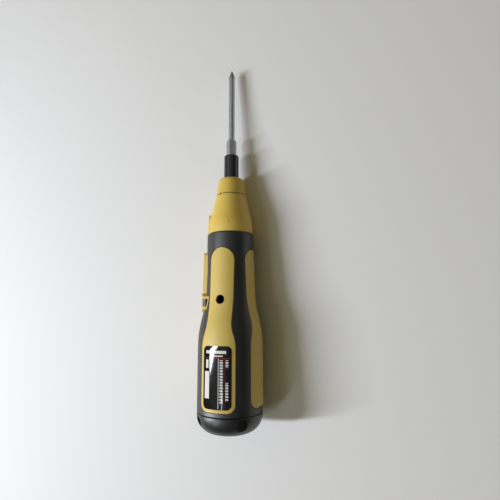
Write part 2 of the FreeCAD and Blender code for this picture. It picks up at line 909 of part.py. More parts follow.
def build_cap():
    """The end cap: a flat butt, a wide corner, a bore over the neck and four round recesses."""
    seam = d.cap_length - d.cap_gap
    corner_centre = d.cap_radius - d.cap_corner
    blank = turned("cap_blank", [
        (ZERO, ZERO),
        (corner_centre, ZERO, d.cap_corner),
        (d.cap_radius, d.cap_corner),
        (d.cap_radius, seam - d.cap_front_round, d.cap_front_round),
        (d.cap_radius - d.cap_front_round, seam),
        (d.cap_bore_radius, seam),
        (d.cap_bore_radius, d.cap_floor + d.cap_fillet),
        (d.cap_bore_radius - d.cap_fillet, d.cap_floor),
        (ZERO, d.cap_floor),
    ])
    recesses = []
    for number in range(4):
        angle = 45 + 90 * number
        recess = add("Part::Cylinder", f"cap_recess_{number}", Radius=d.recess_radius, Height=OUTSIDE)
        recesses.append(place(recess, d.recess_floor * sine(angle), d.recess_place,
                              d.recess_floor * cosine(angle), FreeCAD.Rotation(ALONG_Y, angle)))
    return cut("rear_cap", blank, joined("cap_recesses", recesses))


def build_seal():
    seal = add("Part::Torus", "cap_seal", Radius1=d.neck_radius, Radius2=d.seal_section / 2)
    return place(seal, ZERO, d.cap_length - d.seal_from_seam, ZERO, LYING)


def build_cone():
    """The cone with its spigot in the shells, its stepped bore and the snout under the lock ring."""
    start = d.grip_end + d.seam_gap
    end = d.grip_end + d.cone_length
    spigot_start = d.grip_end - d.spigot_length
    spigot_radius = d.collar_radius - d.rubber_thickness - d.shell_wall - d.slip_gap
    flange_start = d.grip_end - d.flange_place
    shoulder = start + d.cone_shoulder_start
    case_bore = d.case_radius + d.slip_gap
    neck_bore = d.case_neck_radius + d.slip_gap
    case_end = second_stage_end() + d.case_wall + d.slip_gap
    neck_end = case_end + d.case_neck_length
    clip_place = end + d.ring_clip_place
    clip_half = d.ring_clip_section / 2 + d.slip_gap
    clip_floor = d.snout_radius - d.ring_clip_section / 2
    body = turned("cone_body", [
        (case_bore, spigot_start),
        (spigot_radius, spigot_start),
        (spigot_radius, flange_start),
        (d.flange_radius, flange_start),
        (d.flange_radius, flange_start + d.flange_length),
        (spigot_radius, flange_start + d.flange_length),
        (spigot_radius, start),
        (d.cone_radius, start),
        (d.cone_radius, shoulder, d.cone_shoulder_bend),
        (d.cone_radius - d.cone_shoulder_drop, shoulder + d.cone_shoulder_length),
        (d.cone_tip_radius, end),
        (d.snout_radius, end),
        (d.snout_radius, clip_place - clip_half),
        (clip_floor, clip_place - clip_half),
        (clip_floor, clip_place + clip_half),
        (d.snout_radius, clip_place + clip_half),
        (d.snout_radius, end + d.snout_length),
        (d.front_bush_radius, end + d.snout_length),
        (d.front_bush_radius, neck_end),
        (neck_bore, neck_end),
        (neck_bore, case_end),
        (case_bore, case_end),
    ])
    rib_shape = rounded_outline(d.rib_half_width, start, start + d.rib_length, d.spine_corner)
    rib_line = [(d.rib_radius_rear, start - PAST), (d.rib_radius_front, start + d.rib_length + PAST)]
    rib = raised_pad("cone_rib_pad", rib_shape, outside_of(rib_line), SWITCH_SIDE)
    core = rod("cone_rib_core", d.case_radius + d.shell_wall / 2, d.rib_length + 2 * PAST, ZERO, start - PAST)
    ribbed = joined("cone_ribbed", [body, cut("cone_rib", rib, core)])
    marks = [lock_mark(f"cone_mark_{number}", end - d.mark_length, angle)
             for number, angle in enumerate((FIRST_MARK, FIRST_MARK - d.lock_turn.value))]
    pit = add("Part::Cylinder", "cone_pit", Radius=d.pit_radius, Height=OUTSIDE)
    marks.append(place(pit, d.pit_floor_radius * sine(d.pit_angle), d.pit_place,
                       d.pit_floor_radius * cosine(d.pit_angle),
                       FreeCAD.Rotation(ALONG_Y, d.pit_angle.value)))
    return cut("nose_cone", ribbed, joined("cone_marks", marks))


def lock_mark(name, start, angle):
    """A small slot that shows the lock ring's place."""
    mark = add("Part::Box", name, Length=d.mark_width, Width=d.mark_length * 2, Height=OUTSIDE)
    radius = d.cone_tip_radius - d.mark_depth
    aside = d.mark_width / 2
    turn = FreeCAD.Rotation(ALONG_Y, angle)
    return place(mark, radius * sine(angle) - aside * cosine(angle), start,
                 radius * cosine(angle) + aside * sine(angle), turn)


def build_lock_ring():
    start = d.grip_end + d.cone_length + d.seam_gap
    end = d.grip_end + d.cone_length + d.ring_length + d.seam_gap
    clip_place = d.grip_end + d.cone_length + d.ring_clip_place
    clip_half = d.ring_clip_section / 2 + d.slip_gap
    bore = d.snout_radius + d.slip_gap
    step = d.grip_end + d.cone_length + d.snout_length + d.soft_gap
    nose = end - d.ring_nose_length
    body = turned("ring_body", [
        (bore, start),
        (d.cone_tip_radius - d.seam_gap / 2, start),
        (d.ring_tip_radius, nose, d.ring_nose_bend),
        (d.ring_face_radius, end),
        (d.nose_hole_radius, end),
        (d.nose_hole_radius, step),
        (bore, step),
        (bore, clip_place + clip_half),
        (bore + d.ring_clip_section / 2, clip_place + clip_half),
        (bore + d.ring_clip_section / 2, clip_place - clip_half),
        (bore, clip_place - clip_half),
    ])
    return cut("lock_ring", body, lock_mark("ring_mark", start - d.mark_length, FIRST_MARK))


def build_ring_clip():
    """An open wire ring that keeps the lock ring on the snout."""
    place_along = d.grip_end + d.cone_length + d.ring_clip_place
    clip = add("Part::Torus", "ring_clip", Radius1=d.snout_radius + d.slip_gap / 2,
               Radius2=d.ring_clip_section / 2 - d.slip_gap / 2)
    clip.Angle3 = 340
    return place(clip, ZERO, place_along, ZERO, LYING)


def second_stage_end():
    """Front face of the output carrier, with its clearance to the case's wall."""
    return d.second_planets_start + d.planet_width + d.soft_gap * 2 + d.carrier_thickness + d.soft_gap * 2


def build_rocker():
    """The button: a saddle plate, a stem through the skirt and a hub on the pivot."""
    half_length = d.mouth_half_length - d.rocker_play
    plate_shape = tapered_outline(d.rocker_half_width, half_length,
                                  d.frame_taper_start - d.rocker_play, d.mouth_taper - d.rocker_play)
    low = d.switch_centre - d.frame_half_length * 2
    high = d.switch_centre + d.frame_half_length * 2
    skin = outside_of([(d.rocker_radius, low), (d.rocker_radius, high)])
    plate = raised_pad("rocker_pad", plate_shape, skin, SWITCH_SIDE)
    under = d.rocker_radius - d.rocker_thickness
    saddle = cut("rocker_saddle", plate, rod("rocker_under", under, high - low, ZERO, low))
    inner = half_length - d.slip_gap
    stem = box("rocker_stem_box", (-(under + d.rocker_thickness / 2), d.switch_centre - inner,
                                   -d.rocker_stem / 2),
               (-d.pivot_depth, d.switch_centre + inner, d.rocker_stem / 2))
    hub = rod("rocker_hub", d.hub_radius, inner * 2, -d.pivot_depth, d.switch_centre - inner)
    bore = rod("rocker_bore", d.pivot_radius + d.running_gap, high - low, -d.pivot_depth, low)
    return cut("rocker", joined("rocker_whole", [saddle, stem, hub]), bore)


def build_rocker_pin():
    reach_along = d.mouth_half_length + d.lug_thickness
    return rod("rocker_pin", d.pivot_radius, reach_along * 2, -d.pivot_depth,
               d.switch_centre - reach_along)


def build_skirt():
    """The dust skirt in the switch's mouth, with a slot for the stem."""
    shape = padded("skirt_shape", tapered_outline(
        d.mouth_half_width - d.slip_gap, d.mouth_half_length - d.slip_gap,
        d.frame_taper_start, d.mouth_taper), OUTSIDE, SWITCH_SIDE)
    band = ring_band("skirt_band", d.skirt_radius - d.skirt_thickness, d.skirt_radius,
                     d.switch_centre - d.mouth_half_length, d.switch_centre + d.mouth_half_length)
    slot_half = d.rocker_stem / 2 + d.rocker_play * 2
    slot = box("skirt_slot", (-OUTSIDE, d.switch_centre - d.mouth_half_length + d.soft_gap, -slot_half),
               (-d.pivot_depth, d.switch_centre + d.mouth_half_length - d.soft_gap, slot_half))
    return cut("switch_skirt", shared("skirt_plate", band, shape), slot)


def build_switch():
    """The switch block, with the two lugs that hold the rocker's pin."""
    half = d.mouth_half_length - d.rocker_play
    top = -(d.pivot_depth - d.hub_radius - d.soft_gap)
    block = box("switch_block", (top, d.switch_centre - half, -d.switch_half_width),
                (top + d.switch_depth, d.switch_centre + half, d.switch_half_width))
    lugs = []
    for number, sign in enumerate((-1, 1)):
        inner = d.switch_centre + sign * (d.mouth_half_length - d.slip_gap)
        outer = inner + sign * d.lug_thickness
        low, high = (outer, inner) if sign < 0 else (inner, outer)
        tip = -(d.pivot_depth + d.pivot_radius + d.slip_gap * 3)
        root = top + d.hub_radius
        lug = box(f"switch_lug_{number}", (tip, low, -d.hub_radius), (root, high, d.hub_radius))
        foot_low, foot_high = (low, high + d.lug_foot) if sign < 0 else (low - d.lug_foot, high)
        foot = box(f"switch_foot_{number}", (top, foot_low, -d.hub_radius), (root, foot_high, d.hub_radius))
        lugs += [lug, foot]
    bore = rod("switch_bore", d.pivot_radius + d.running_gap, d.mouth_half_length * 4, -d.pivot_depth,
               d.switch_centre - d.mouth_half_length * 2)
    return cut("switch_body", joined("switch_whole", [block] + lugs), bore)


def build_inlet():
    bottom = d.jack_top - d.jack_depth
    block = post("jack_block", d.jack_radius, d.jack_depth, ZERO, d.inlet_place, bottom)
    bore = post("jack_bore", d.jack_bore_radius, d.jack_bore_depth + PAST, ZERO, d.inlet_place,
                d.jack_top - d.jack_bore_depth)
    socket = cut("dc_socket", block, bore)
    pin_start = d.jack_top - d.jack_bore_depth
    pin = post("dc_pin", d.jack_pin_radius, d.jack_pin_length, ZERO, d.inlet_place, pin_start)
    return socket, pin


def cell_spots():
    """Centres of the three cells round the tool's axis."""
    distance = (d.cell_radius + d.cell_gap / 2) * (2 / math.sqrt(3))
    return [(distance * sine(angle), distance * cosine(angle)) for angle in (180, 300, 60)]


def build_cells():
    cells = []
    for letter, (x, z), end_first in zip("abc", cell_spots(), (False, True, False)):
        body = turned(f"cell_{letter}", [
            (ZERO, ZERO),
            (d.cell_radius - d.cell_edge, ZERO),
            (d.cell_radius, d.cell_edge),
            (d.cell_radius, d.cell_length - d.nub_length - d.cell_edge),
            (d.cell_radius - d.cell_edge, d.cell_length - d.nub_length),
            (d.nub_radius, d.cell_length - d.nub_length),
            (d.nub_radius, d.cell_length),
            (ZERO, d.cell_length),
        ])
        if end_first:
            place(body, x, d.cell_start + d.cell_length, z, FreeCAD.Rotation(ALONG_Z, 180))
        else:
            place(body, x, d.cell_start, z)
        cells.append(body)
    return cells


def build_cage():
    """Two round plates with a middle rod and three side rods between the cells."""
    rear = d.cell_start - d.link_thickness - d.slip_gap - d.cage_plate
    front = d.cell_start + d.cell_length + d.link_thickness + d.slip_gap
    plates = [rod("cage_rear", d.cage_radius, d.cage_plate, ZERO, rear),
              rod("cage_front", d.cage_radius, d.cage_plate, ZERO, front)]
    length = front - rear
    rods = [rod("cage_middle", d.cage_rod_radius, length, ZERO, rear)]
    side = d.cage_radius - d.cage_side_radius - d.soft_gap
    for number, angle in enumerate((0, 120, 240)):
        rods.append(rod(f"cage_side_{number}", d.cage_side_radius, length,
                        side * sine(angle), rear, side * cosine(angle)))
    return joined("battery_cage", plates + rods)


def build_links():
    """The strips that join the cells in a row: two in front and two behind."""
    spots = cell_spots()
    front = d.cell_start + d.cell_length + d.slip_gap / 2
    rear = d.cell_start - d.link_thickness - d.slip_gap / 2
    half = d.link_width / 2
    side = reach(d.cell_radius, d.link_width / 2) / 2
    lower, right = spots[0], spots[2]
    pieces = [
        box("link_front", (spots[1][0] - half, front, spots[1][1] - half),
            (-(d.cage_rod_radius + d.soft_gap), front + d.link_thickness, spots[1][1] + half)),
        box("link_rear_lower", (-half, rear, lower[1] - half),
            (half, rear + d.link_thickness, -(d.cage_rod_radius + d.soft_gap))),
        box("link_rear_right", (right[0] - side, rear, right[1] - half),
            (right[0] + side, rear + d.link_thickness, right[1] + half)),
    ]
    return grouped("cell_links", pieces)


def build_contact_springs():
    """Two folded strips that carry the current from the battery to the board."""
    start = d.cell_start + d.cell_length + d.link_thickness + d.slip_gap * 2 + d.cage_plate
    height = d.board_start - d.slip_gap - start
    long = d.contact_half_length
    thin = d.link_thickness
    strips = []
    for number, (x, z) in enumerate((cell_spots()[0], cell_spots()[2])):
        strip = padded(f"contact_strip_{number}", [
            (-long, ZERO),
            (long, ZERO),
            (long, thin),
            (d.contact_leg - long, height - thin),
            (long, height - thin),
            (long, height),
            (-long, height),
            (-long, height - thin),
            (long - d.contact_leg, thin),
            (-long, thin),
        ], d.contact_width)
        strips.append(place(strip, x, start, z - d.contact_width / 2))
    return grouped("contact_springs", strips)


def build_board():
    front = d.board_start + d.board_thickness
    rim = wall_radius(front) - d.shell_wall / 2 - d.soft_gap
    disc = rod("board_disc", rim, d.board_thickness, ZERO, d.board_start)
    parts = []
    for number, (x, z, width, height) in enumerate(BOARD_PARTS):
        low = (x, front, z)
        high = (x + width, front + d.board_part_height, z + height)
        parts.append(box(f"board_part_{number}", low, high))
    disc.Label = "circuit_board"
    return disc, grouped("board_parts", parts)


def tube_along(points, radius, bend):
    """A round tube along straight runs that are joined by arcs."""
    edges = []
    start = points[0]
    for before, corner, after in zip(points, points[1:], points[2:]):
        back = (before - corner).normalize()
        ahead = (after - corner).normalize()
        half_turn = (math.pi - back.getAngle(ahead)) / 2
        setback = bend * math.tan(half_turn)
        first = corner + back * setback
        last = corner + ahead * setback
        middle_way = (back + ahead).normalize()
        centre = corner + middle_way * (bend / math.cos(half_turn))
        middle = centre - middle_way * bend
        edges.append(Part.LineSegment(start, first).toShape())
        edges.append(Part.Arc(first, middle, last).toShape())
        start = last
    edges.append(Part.LineSegment(start, points[-1]).toShape())
    path = Part.Wire(edges)
    circle = Part.Circle(points[0], points[1] - points[0], radius)
    return path.makePipeShell([Part.Wire(Part.Edge(circle))], True, True)


def build_leads():
    """Two leads from the board to the motor's terminals, clear of the screws, inlet and switch."""
    board_front = (d.board_start + d.board_thickness).value
    motor_rear = d.motor_start.value
    leads = []
    for name, side in (("lead_red", 1), ("lead_black", -1)):
        near_board = VECTOR(d.lead_board_across.value, board_front, side * d.lead_board_up.value)
        near_motor = VECTOR(d.lead_motor_across.value, motor_rear, side * d.lead_motor_up.value)
        points = [
            near_board,
            near_board + ALONG_Y * d.lead_board_run.value,
            near_motor - ALONG_Y * d.lead_motor_run.value,
            near_motor,
        ]
        leads.append(shaped(name, tube_along(points, d.lead_radius.value, d.lead_bend.value)))
    return leads


def build_screws():
    screws = []
    for number, across in enumerate((-d.screw_offset, d.screw_offset)):
        head_start = -(d.screw_seat + d.screw_head_height)
        head = post(f"screw_head_{number}", d.screw_head_radius, d.screw_head_height,
                    across, d.screw_place, head_start)
        shank = post(f"screw_shank_{number}", d.screw_radius,
                     d.screw_seat + d.screw_reach, across, d.screw_place, -d.screw_seat)
        slots = []
        for turn in range(2):
            halves = (d.screw_cross_half, d.screw_cross_width / 2)
            half_long, half_wide = halves if turn == 0 else reversed(halves)
            slots.append(box(f"screw_slot_{number}_{turn}",
                             (across - half_long, d.screw_place - half_wide, head_start),
                             (across + half_long, d.screw_place + half_wide,
                              head_start + d.screw_cross_depth)))
        screws.append(cut(f"case_screw_{number}", joined(f"screw_whole_{number}", [head, shank]),
                          joined(f"screw_cross_{number}", slots)))
    return grouped("case_screws", screws)


def build_motor():
    """The can, its end bell, magnets, brushes and terminals."""
    bell_end = d.motor_start + d.bell_length
    inner = d.motor_radius - d.can_wall
    bearing_bore = d.shaft_radius + d.running_gap
    can = turned("motor_can", [
        (inner, bell_end),
        (d.motor_radius, bell_end),
        (d.motor_radius, d.motor_end),
        (d.bearing_radius, d.motor_end),
        (d.bearing_radius, d.motor_end + d.bearing_length),
        (bearing_bore, d.motor_end + d.bearing_length),
        (bearing_bore, d.motor_end - d.can_wall),
        (inner, d.motor_end - d.can_wall),
    ])
    bell = turned("motor_end_bell", [
        (bearing_bore, d.motor_start),
        (d.motor_radius - d.can_wall, d.motor_start),
        (d.motor_radius, d.motor_start + d.can_wall),
        (d.motor_radius, bell_end),
        (bearing_bore, bell_end),
    ])
    magnet_start = d.rotor_start + (d.rotor_length - d.magnet_length) / 2
    sectors = []
    for number, side in enumerate((0, 180)):
        sector = add("Part::Cylinder", f"magnet_sector_{number}", Radius=OUTSIDE,
                     Height=d.magnet_length, Angle=d.magnet_span)
        swing = FreeCAD.Rotation(ALONG_Y, side + d.magnet_span.value / 2)
        place(sector, ZERO, magnet_start, ZERO, swing.multiply(LYING))
        sectors.append(sector)
    band = ring_band("magnet_band", inner - d.magnet_thickness, inner, magnet_start,
                     magnet_start + d.magnet_length)
    magnets = shared("motor_magnets", band, joined("magnet_sectors", sectors))
    brush_start = bell_end + d.soft_gap
    touching = d.commutator_radius + d.slip_gap
    brushes = []
    terminals = []
    for number, sign in enumerate((1, -1)):
        low = touching
        high = inner - d.slip_gap
        bottom, top = (low, high) if sign > 0 else (-high, -low)
        brush_end = brush_start + d.commutator_length - d.soft_gap * 2
        brushes.append(box(f"brush_{number}", (-d.brush_half_width, brush_start, bottom),
                           (d.brush_half_width, brush_end, top)))
        middle = d.terminal_up * sign
        terminals.append(box(f"terminal_{number}",
                             (d.terminal_across, d.motor_start - d.terminal_length,
                              middle - d.terminal_half_width),
                             (d.terminal_across + d.terminal_thickness, d.motor_start,
                              middle + d.terminal_half_width)))
    return [can, bell, magnets, grouped("brushes", brushes), grouped("motor_terminals", terminals)]


def build_rotor():
    """The turning parts of the motor, with the pinion on their shaft."""
    shaft_start = d.motor_start + d.shaft_inset
    shaft_end = d.first_planets_start + d.planet_width
    shaft = rod("motor_shaft", d.shaft_radius, shaft_end - shaft_start, ZERO, shaft_start)
    core_end = d.rotor_start + d.rotor_length
    hub = ring_band("rotor_hub", d.shaft_radius, d.rotor_core_radius, d.rotor_start, core_end)
    pieces = [hub]
    coils = []
    for number in range(POLES):
        angle = 360 / POLES * number
        turn = FreeCAD.Rotation(ALONG_Y, angle)
        limb = add("Part::Box", f"pole_{number}", Length=d.pole_half_width * 2,
                   Width=d.rotor_length, Height=d.rotor_radius - d.rotor_core_radius)
        sideways = -d.pole_half_width
        base = d.rotor_core_radius - d.shaft_radius / 2
        place(limb, sideways * cosine(angle) + base * sine(angle), d.rotor_start,
              base * cosine(angle) - sideways * sine(angle), turn)
        pieces.append(limb)
        sector = add("Part::Cylinder", f"pole_shoe_{number}", Radius=d.rotor_radius,
                     Height=d.rotor_length, Angle=d.pole_span)
        swing = FreeCAD.Rotation(ALONG_Y, angle + d.pole_span.value / 2)
        place(sector, ZERO, d.rotor_start, ZERO, swing.multiply(LYING))
        hollow = rod(f"pole_hollow_{number}", d.rotor_radius - d.pole_rim, d.rotor_length,
                     ZERO, d.rotor_start)
        pieces.append(cut(f"pole_rim_{number}", sector, hollow))
        coils.append(build_coil(number, angle, turn))
    armature = joined("armature", pieces)
    commutator = ring_band("commutator", d.shaft_radius, d.commutator_radius,
                           d.motor_start + d.bell_length + d.soft_gap,
                           d.motor_start + d.bell_length + d.soft_gap + d.commutator_length)
    pinion_start = d.first_planets_start - d.soft_gap
    pinion_width = d.planet_width + d.soft_gap
    pinion_shape = gear_shape(d.sun_teeth.value, pinion_width.value, d.shaft_radius.value)
    pinion = shaped("pinion", pinion_shape, ZERO, pinion_start, ZERO, GEAR_WAY)
    return [shaft, armature, grouped("windings", coils), commutator, pinion]


def build_coil(number, angle, turn):
    """One winding: a block round its pole, between the hub and the pole's shoe."""
    half = d.pole_half_width + d.slip_gap / 2
    wide = half + d.coil_thickness
    low = d.rotor_core_radius + d.soft_gap
    high = reach(d.rotor_radius - d.pole_rim, wide) - d.slip_gap
    blocks = []
    for name, reach_aside, past_end in (("outer", wide, d.coil_thickness), ("inner", half, d.slip_gap)):
        block = add("Part::Box", f"coil_{name}_{number}", Length=reach_aside * 2,
                    Width=d.rotor_length + past_end * 2, Height=high - low)
        place(block, low * sine(angle) - reach_aside * cosine(angle), d.rotor_start - past_end,
              low * cosine(angle) + reach_aside * sine(angle), turn)
        blocks.append(block)
    return cut(f"coil_{number}", *blocks)


def involute(angle):
    return math.tan(angle) - angle


def gear_wire(teeth, inner, outer, thickness_shift):
    """The closed outline of a spur gear in the XY plane, with a tooth on +Y.
    The flanks are involutes, and run straight to the middle below the base circle."""
    module = d.gear_module.value
    pitch = module * teeth / 2
    pressure = math.radians(d.pressure_angle.value)
    base = pitch * math.cos(pressure)
    half_tooth = math.pi / (2 * teeth) + thickness_shift / (2 * pitch)

    def flank_angle(radius):
        if radius <= base:
            return half_tooth + involute(pressure)
        return half_tooth + involute(pressure) - involute(math.acos(base / radius))

    def spot(radius, angle):
        return VECTOR(radius * math.sin(angle), radius * math.cos(angle), 0)

    steps = 8
    start = max(inner, base)
    radii = [start + (outer - start) * step / steps for step in range(steps + 1)]
    edges = []
    count = int(teeth)
    for tooth in range(count):
        middle = 2 * math.pi * tooth / count
        rising = [spot(radius, middle - flank_angle(radius)) for radius in radii]
        falling = [spot(radius, middle + flank_angle(radius)) for radius in reversed(radii)]
        root_in = spot(inner, middle - flank_angle(inner))
        root_out = spot(inner, middle + flank_angle(inner))
        if inner < base:
            edges.append(Part.LineSegment(root_in, rising[0]).toShape())
        edges.append(flank_edge(rising))
        edges.append(Part.Arc(rising[-1], spot(outer, middle), falling[0]).toShape())
        edges.append(flank_edge(falling))
        if inner < base:
            edges.append(Part.LineSegment(falling[-1], root_out).toShape())
        after = middle + math.pi / count
        next_in = spot(inner, middle + 2 * math.pi / count - flank_angle(inner))
        edges.append(Part.Arc(root_out, spot(inner, after), next_in).toShape())
    return Part.Wire(edges)


def flank_edge(points):
    curve = Part.BSplineCurve()
    curve.interpolate(points)
    return curve.toShape()


def gear_shape(teeth, width, bore):
    """An outer gear with a round bore, drawn out from the XY plane with a tooth on +Y."""
    pitch = d.gear_module.value * teeth / 2
    outer = pitch + d.gear_module.value * d.tooth_addendum.value
    inner = pitch - d.gear_module.value * d.tooth_dedendum.value
    face = Part.Face(gear_wire(teeth, inner, outer, -d.tooth_backlash.value))
    return face.extrude(VECTOR(0, 0, width)).cut(Part.makeCylinder(bore, width))


def ring_gear_shape(teeth, width):
    """The inner gear: a round wall with a toothed hole, a tooth of which is on +Y."""
    pitch = d.gear_module.value * teeth / 2
    deep = pitch + d.gear_module.value * d.tooth_dedendum.value
    tip = pitch - d.gear_module.value * d.tooth_addendum.value
    hole = gear_wire(teeth, tip, deep, d.tooth_backlash.value)
    hole.rotate(VECTOR(), ALONG_Z, 180 / teeth)
    wall = Part.Wire(Part.Edge(Part.Circle(VECTOR(), ALONG_Z, d.case_radius.value)))
    return Part.Face([wall, hole]).extrude(VECTOR(0, 0, width))


def planet_spots():
    distance = d.gear_module * (d.sun_teeth + d.planet_teeth) / 2
    return [(angle, distance * sine(angle), distance * cosine(angle)) for angle in (0, 120, 240)]


def build_planets(stage, start):
    """Three planets of one stage, each with a gap towards the sun and one towards the ring."""
    planets = []
    shape = gear_shape(d.planet_teeth.value, d.planet_width.value,
                       (d.planet_pin_radius + d.running_gap).value)
    half_tooth = 180 / d.planet_teeth.value
    for letter, (angle, x, z) in zip("abc", planet_spots()):
        turn = FreeCAD.Rotation(ALONG_Y, angle + half_tooth).multiply(GEAR_WAY)
        planets.append(shaped(f"planet_{stage}{letter}", shape.copy(), x, start, z, turn))
    return planets


def carrier_pins(name, start, length):
    return [rod(f"{name}_pin_{number}", d.planet_pin_radius, length, x, start, z)
            for number, (_, x, z) in enumerate(planet_spots())]


def build_carriers():
    """The first carrier turns the second sun, and the output carrier turns the spindle."""
    pin_tail = d.soft_gap
    first_face = d.first_planets_start + d.planet_width + d.soft_gap
    first_disc = rod("carrier_disc", d.carrier_radius, d.carrier_thickness, ZERO, first_face)
    first_pins = carrier_pins("first", d.first_planets_start - pin_tail, d.planet_width + d.soft_gap * 3)
    sun_start = first_face + d.carrier_thickness
    sun_end = d.second_planets_start + d.planet_width
    sun_shape = gear_shape(d.sun_teeth.value, (sun_end - sun_start).value, d.sun_bore_radius.value)
    second_sun = shaped("second_sun", sun_shape, ZERO, sun_start, ZERO, GEAR_WAY)
    drill = rod("first_drill", d.sun_bore_radius, d.carrier_thickness, ZERO, first_face)
    first = joined("carrier_1", [cut("carrier_plate", first_disc, drill), second_sun] + first_pins)
    second_face = d.second_planets_start + d.planet_width + d.soft_gap * 2
    bore = d.spindle_tail_radius
    second_disc = ring_band("output_disc", bore, d.carrier_radius, second_face,
                            second_face + d.carrier_thickness)
    second_pins = carrier_pins("second", d.second_planets_start - pin_tail,
                               d.planet_width + d.soft_gap * 4)
    second = joined("output_carrier", [second_disc] + second_pins)
    return first, second


def ring_gear_teeth():
    return d.sun_teeth.value + 2 * d.planet_teeth.value


def build_gear_case():
    """The ring gear with its front wall and the neck that holds the rear bush."""
    wall_start = second_stage_end()
    wall_end = wall_start + d.case_wall
    neck_end = wall_end + d.case_neck_length
    step = wall_end + d.case_neck_length - d.rear_bush_length
    shaft_hole = d.spindle_shaft_radius + d.soft_gap
    front = turned("gear_case_front", [
        (shaft_hole, wall_start),
        (d.case_radius, wall_start),
        (d.case_radius, wall_end),
        (d.case_neck_radius, wall_end),
        (d.case_neck_radius, neck_end),
        (d.rear_bush_radius, neck_end),
        (d.rear_bush_radius, step),
        (shaft_hole, step),
    ])
    width = (wall_start - d.case_start).value
    ring = shaped("ring_gear", ring_gear_shape(ring_gear_teeth(), width), ZERO, d.case_start, ZERO, GEAR_WAY)
    return joined("gear_case", [ring, front])


def build_bushes():
    neck_end = second_stage_end() + d.case_wall + d.case_neck_length
    rear = ring_band("rear_bush", d.spindle_shaft_radius + d.running_gap, d.rear_bush_radius,
                     neck_end - d.rear_bush_length, neck_end)
    front = ring_band("front_bush", d.spindle_head_radius + d.running_gap, d.front_bush_radius,
                      d.front_bush_start, d.front_bush_start + d.front_bush_length)
    washer = ring_band("stage_washer", d.sun_teeth * d.gear_module / 2 + d.soft_gap * 2,
                       d.carrier_radius, d.case_start + d.slip_gap,
                       d.first_planets_start - d.soft_gap * 2)
    plate = ring_band("motor_plate", d.bearing_radius + d.slip_gap, d.case_radius,
                      d.motor_end + d.slip_gap, d.case_start - d.slip_gap)
    return [rear, front, washer, plate]


def build_spindle():
    """The output spindle: a tail in the carrier, a shaft in the rear bush and the bit holder."""
    clip_place = second_stage_end() + d.case_wall + d.case_neck_length + d.soft_gap
    clip_end = clip_place + d.clip_thickness
    clip_floor = d.spindle_shaft_radius - d.clip_groove_depth
    tail_end = d.second_planets_start + d.planet_width + d.soft_gap * 2 + d.carrier_thickness
    rim = d.spindle_rim
    body = turned("spindle_body", [
        (ZERO, d.spindle_start),
        (d.spindle_tail_radius, d.spindle_start),
        (d.spindle_tail_radius, tail_end),
        (d.spindle_shaft_radius, tail_end),
        (d.spindle_shaft_radius, clip_place),
        (clip_floor, clip_place),
        (clip_floor, clip_end),
        (d.spindle_shaft_radius, clip_end),
        (d.spindle_shaft_radius, d.spindle_head_start),
        (d.spindle_head_radius, d.spindle_head_start),
        (d.spindle_head_radius, d.spindle_end - rim, rim),
        (d.spindle_head_radius - rim, d.spindle_end),
        (ZERO, d.spindle_end),
    ])
    socket_start = d.spindle_end - d.socket_depth
    socket = hexagon_rod("socket_hexagon", d.hex_across_flats + d.hex_clearance * 2,
                         d.socket_depth + PAST, socket_start, d.bit_turn.value)
    pocket = rod("magnet_pocket", d.magnet_radius, d.magnet_height + PAST, ZERO,
                 socket_start - d.magnet_height)
    spindle = cut("spindle", body, joined("spindle_holes", [socket, pocket]))
    magnet = rod("bit_magnet", d.magnet_radius, d.magnet_height - d.slip_gap, ZERO,
                 socket_start - d.magnet_height)
    clip = add("Part::Cylinder", "spindle_clip_disc", Radius=d.clip_radius,
               Height=d.clip_thickness, Angle=300)
    place(clip, ZERO, clip_place, ZERO, LYING)
    clip_hole = rod("spindle_clip_hole", clip_floor, d.clip_thickness, ZERO, clip_place)
    return spindle, magnet, cut("spindle_clip", clip, clip_hole)


def build_bit():
    """The long bit: a hexagon shank, a round blade and a cross tip with four flutes."""
    start = d.spindle_end - d.socket_depth + d.bit_gap
    hex_end = start + d.bit_hex_length
    corner = d.hex_across_flats / math.sqrt(3)
    chamfer = d.bit_end_chamfer
    shank_blank = turned("shank_blank", [
        (ZERO, start),
        (corner - chamfer, start),
        (corner, start + chamfer),
        (corner, hex_end),
        (d.blade_radius, hex_end + d.bit_hex_chamfer),
        (ZERO, hex_end + d.bit_hex_chamfer),
    ])
    hexagon = hexagon_rod("shank_hexagon", d.hex_across_flats, d.bit_hex_length + d.bit_hex_chamfer,
                          start, d.bit_turn.value)
    shank = shared("bit_shank", shank_blank, hexagon)
    end = start + d.bit_length
    blade = turned("bit_blade", [
        (ZERO, hex_end),
        (d.blade_radius, hex_end),
        (d.blade_radius, end - d.blade_taper),
        (d.blade_tip_radius, end),
        (ZERO, end),
    ])
    flutes = []
    for number in range(4):
        flute = add("Part::Box", f"flute_{number}", Length=d.flute_size,
                    Width=d.flute_size, Height=d.bit_hex_length)
        angle = 45 + 90 * number
        corner_first = FreeCAD.Rotation(ALONG_Z, -45)
        down = FreeCAD.Rotation(ALONG_X, 90)
        lean = FreeCAD.Rotation(ALONG_Z, d.flute_tilt.value)
        around = FreeCAD.Rotation(ALONG_Y, angle)
        place(flute, d.flute_web * cosine(angle), end, -(d.flute_web * sine(angle)),
              around.multiply(lean).multiply(down).multiply(corner_first))
        flutes.append(flute)
    return cut("phillips_bit", joined("bit_whole", [shank, blade]), joined("bit_flutes", flutes))


